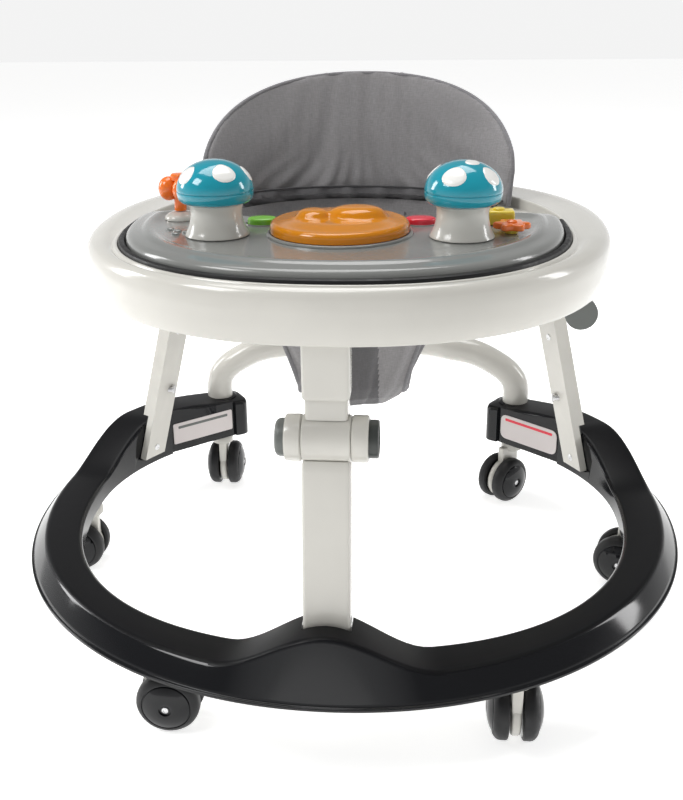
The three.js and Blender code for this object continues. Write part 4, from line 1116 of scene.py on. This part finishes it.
def gather_sections(pucker):
    """Lines across the gathered strip, all the way round; pucker is 1 as worn and 0 laid smooth."""
    sections = []
    steps = 420
    for i in range(steps):
        angle = 2 * math.pi * i / steps
        aim = Vector((math.cos(angle), math.sin(angle)))
        hole = Vector((SEAT_HOLE["across"] * aim.x, SEAT_HOLE["y"] + SEAT_HOLE["rear"] * aim.y))
        wall = Vector((BACK["across"] - 14, BACK["along"] - 14))
        wall = Vector((wall.x * aim.x, BACK["y"] + wall.y * aim.y))
        behind = ease(aim.y, 0.18, 0.42)
        fold = math.sin(angle * 21 + 1.6 * math.sin(angle * 4)) + 0.35 * math.sin(angle * 55 + 1)
        low = hole - aim * 6
        rim = hole - aim * 0.8
        foot = rim.lerp(wall, behind)
        top = (rim + aim * 1.5).lerp(wall + aim * 1.5, behind)
        line = [(low - aim * 2, DECK_TOP - 32), (low, DECK_TOP - 18), (rim - aim * 1.6, DECK_TOP - 4)]
        line += [(rim.lerp(foot, 0.5) - aim, DECK_TOP + 0.4 + behind)]
        line += [(foot - aim * 0.8, DECK_TOP + 1.5 + 1.5 * behind)]
        line += [(top - aim, DECK_TOP + 1.3 + 5 * behind), (top, DECK_TOP + 1.2 + 7.5 * behind)]
        section = []
        for k, (spot, z) in enumerate(line):
            spot = spot + aim * (pucker * 1.7 * fold * math.sin(math.pi * (k + 0.6) / 7))
            section.append((spot.x, spot.y, z))
        sections.append(section)
    return sections


def gather_band():
    """The gathered strip that lines the foot of the backrest and turns down into the seat hole."""
    sections = gather_sections(1)
    points, faces = loft(sections, closed=True)
    count = len(sections[0])
    return points, [f for f in faces if not {f[0] % count, f[1] % count} == {0, count - 1}]


# The hanging seat, from its rim down: height, share of the seat opening's size, and shift forward.
SLING = [
    (346, 0.965, 0), (325, 0.945, 2), (300, 0.90, 5), (275, 0.82, 9), (250, 0.72, 15), (228, 0.61, 21),
    (209, 0.51, 27), (198, 0.42, 31), (189, 0.31, 33), (184, 0.17, 34), (182, 0.02, 34),
]
SLING_AROUND, SLING_LEVELS = 300, 70


def sling_point(angle, down, folds=1):
    """A point on the hanging seat: angle round it, 0 at the rim to 1 at the bottom, folds 0 for it smooth."""
    where = down * (len(SLING) - 1)
    i = min(int(where), len(SLING) - 2)
    t = where - i
    t = t * t * (3 - 2 * t) * 0.3 + t * 0.7
    z, share, forward = (a + (b - a) * t for a, b in zip(SLING[i], SLING[i + 1]))
    fold = math.sin(angle * 23 + 1.7 * math.sin(angle * 3)) + 0.6 * math.sin(angle * 37 + 0.8)
    depth = 1.5 * math.sin(math.pi * min(1, down * 1.15)) * (0.5 + 0.5 * math.cos(angle * 2) ** 2)
    long_fold = 2.2 * math.sin(angle * 7 + 0.9) * ease(down, 0.2, 0.6) * (1 - ease(down, 0.75, 1))
    out = folds * (fold * depth + long_fold) - 1.2
    x = (SEAT_HOLE["across"] * share + out) * math.cos(angle)
    y = SEAT_HOLE["y"] - forward + (SEAT_HOLE["rear"] * share + out) * math.sin(angle)
    return Vector((x, y, z))


def leg_hole(point, side):
    """Below 1 inside the opening for the child's leg."""
    across = (point.x - side * 142) / (90 + 0.3 * (235 - point.z))
    return math.sqrt(across ** 2 + ((point.y + 6) / 96) ** 2 + ((point.z - 238) / 70) ** 4)


def hole_loop(side, steps=120):
    """The sewn edge of a leg opening, found on the seat's surface."""
    middle = (0.0 if side > 0 else math.pi) - side * 0.25
    loop = []
    for i in range(steps):
        turn = 2 * math.pi * i / steps
        near, far = 0.0, 1.0
        for _ in range(24):
            share = (near + far) / 2
            probe = sling_point(middle + 1.5 * share * math.cos(turn), 0.46 + 0.46 * share * math.sin(turn))
            if leg_hole(probe, side) < 1:
                near = share
            else:
                far = share
        loop.append(probe)
    return loop


def sling_rings(folds):
    """Closed rings of points down the hanging seat; folds is 1 as it hangs and 0 laid smooth."""
    rings = []
    for j in range(SLING_LEVELS + 1):
        down = j / SLING_LEVELS
        turns = (2 * math.pi * k / SLING_AROUND for k in range(SLING_AROUND))
        rings.append([tuple(sling_point(turn, down, folds)) for turn in turns])
    return rings


def in_leg_hole(face):
    middle = face.calc_center_median() / MM - Vector((0, RING_CENTRE_Y, 0))
    return any(leg_hole(middle, side) < 0.985 for _, side in SIDES)


def thicken_cloth(made, thickness):
    thick = made.modifiers.new("thick", "SOLIDIFY")
    thick.thickness = thickness * MM
    thick.offset = 0
    bake(made)


def build_sling():
    points, faces = loft(sling_rings(1))
    sling = mesh_object("seat_cloth_panel", (points, faces[:-2]), CLOTH)
    bm = bmesh.new()
    bm.from_mesh(sling.data)
    bmesh.ops.delete(bm, geom=[face for face in bm.faces if in_leg_hole(face)], context="FACES")
    bm.to_mesh(sling.data)
    bm.free()
    paint(sling, CLOTH_DARK, lambda x, y, z: abs(x) < 25 and y < 60)
    thicken_cloth(sling, 1.4)
    finish(sling, "tray", ["seat_sling"], 70)
    wide, deep, area = cut_of(sling_rings(0))
    area -= sum(opening_area(hole_loop(side)) for _, side in SIDES)
    settle(sling)
    for name, side in SIDES:
        edge = sweep(hole_loop(side), 2.3, 10, closed=True)
        settle(piece(f"leg_piping_{name}", edge, PIPING, "tray", (), 80))


SEAM_INSET, SEAM_RISE, SEAM_RADIUS = 13, 9, 1.1


def build_gather_strip():
    """The strip, and the dark seam that joins it to the backrest."""
    band = mesh_object("gather_strip", gather_band(), CLOTH_DARK)
    thicken_cloth(band, 1.2)
    finish(band, "tray", (), 70)
    wide, deep, area = cut_of(list(zip(*gather_sections(0))))
    angles = [math.radians(14 + 152 * i / 160) for i in range(161)]
    across, rear = BACK["across"] - SEAM_INSET, BACK["along"] - SEAM_INSET
    wall = {"y": BACK["y"], "across": across, "front": 1, "rear": rear, "power": 2}
    line = [(x, y, DECK_TOP + SEAM_RISE) for x, y in outline_of(wall, 0, angles)]
    piece("gather_seam", sweep(line, SEAM_RADIUS, 8), SEAM, "tray", (), 80)


def settle(made):
    """Gives the hanging cloth a mesh of its own."""
    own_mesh(made)


# ---- Studio -------------------------------------------------------------------------------


def build_studio():
    floor = bpy.data.meshes.new("floor")
    floor.from_pydata([(-9, -9, 0), (9, -9, 0), (9, 9, 0), (-9, 9, 0)], [], [(0, 1, 2, 3)])
    m = Nodes("floor_paper")
    m.link(m.mix(m.noise(3), shade(FLOOR_COLOUR, 0.985), FLOOR_COLOUR), "Base Color")
    m.shader.inputs["Roughness"].default_value = 0.85
    m.shader.inputs["Emission Color"].default_value = (1, 1, 1, 1)
    m.shader.inputs["Emission Strength"].default_value = 0.68
    floor.materials.append(m.material)
    paper = bpy.data.objects.new("floor", floor)
    bpy.context.scene.collection.objects.link(paper)

    world = bpy.data.worlds.new("studio")
    world.use_nodes = True
    tree = world.node_tree
    direction = tree.nodes.new("ShaderNodeTexCoord").outputs["Generated"]
    height = tree.nodes.new("ShaderNodeSeparateXYZ")
    fade = tree.nodes.new("ShaderNodeMapRange")
    for key, value in {"From Min": 0.02, "From Max": 0.4, "To Min": 0.9, "To Max": 0.27}.items():
        fade.inputs[key].default_value = value
    tree.links.new(direction, height.inputs[0])
    tree.links.new(height.outputs["Z"], fade.inputs["Value"])
    tree.links.new(fade.outputs["Result"], tree.nodes["Background"].inputs["Strength"])
    tree.nodes["Background"].inputs["Color"].default_value = (1, 1, 1, 1)
    bpy.context.scene.world = world
    for name, at, size, power, target in (
        ("window", (-1.5, -0.9, 1.9), (0.8, 0.8), 19, (0, 0, 0.25)),
        ("left strip", (-2.2, 0.5, 1.1), (0.5, 1.1), 16, (0, 0, 0.15)),
        ("right strip", (2.2, 0.4, 1.0), (0.4, 1.0), 11, (0, 0, 0.15)),
        ("top", (-0.2, 0.5, 2.6), (2.0, 1.4), 40, (0, 0.3, 0.2)),
    ):
        light = bpy.data.lights.new(name, "AREA")
        light.shape = "RECTANGLE"
        light.size, light.size_y = size
        light.energy = power
        lamp = bpy.data.objects.new(name, light)
        lamp.location = at
        lamp.rotation_euler = (Vector(target) - Vector(at)).to_track_quat("-Z", "Y").to_euler()
        bpy.context.scene.collection.objects.link(lamp)


def build_camera():
    yaw, pitch, roll = CAMERA["yaw"], CAMERA["pitch"], CAMERA["roll"]
    ahead = Vector((math.sin(yaw) * math.cos(pitch), math.cos(yaw) * math.cos(pitch), -math.sin(pitch)))
    right = Vector((math.cos(yaw), -math.sin(yaw), 0))
    up = right.cross(ahead)
    rolled_right = right * math.cos(roll) + up * math.sin(roll)
    rolled_up = up * math.cos(roll) - right * math.sin(roll)
    data = bpy.data.cameras.new("camera")
    data.sensor_width = 36
    data.sensor_fit = "AUTO"
    data.lens = CAMERA["lens"]
    camera = bpy.data.objects.new("camera", data)
    turned = Matrix((rolled_right, rolled_up, -ahead)).transposed().to_4x4()
    camera.matrix_world = Matrix.Translation(row(CAMERA["at"])) @ turned
    bpy.context.scene.collection.objects.link(camera)
    bpy.context.scene.camera = camera


bpy.context.scene.view_settings.view_transform = "Standard"
build_camera()
build_studio()
build_base()
build_casters()
build_column()
dress_cad_nodes()
build_springs()
build_leg_screws()
build_tray()
build_mushrooms()
build_dome()
build_small_toys()
build_backrest()
build_sling()
build_gather_strip()
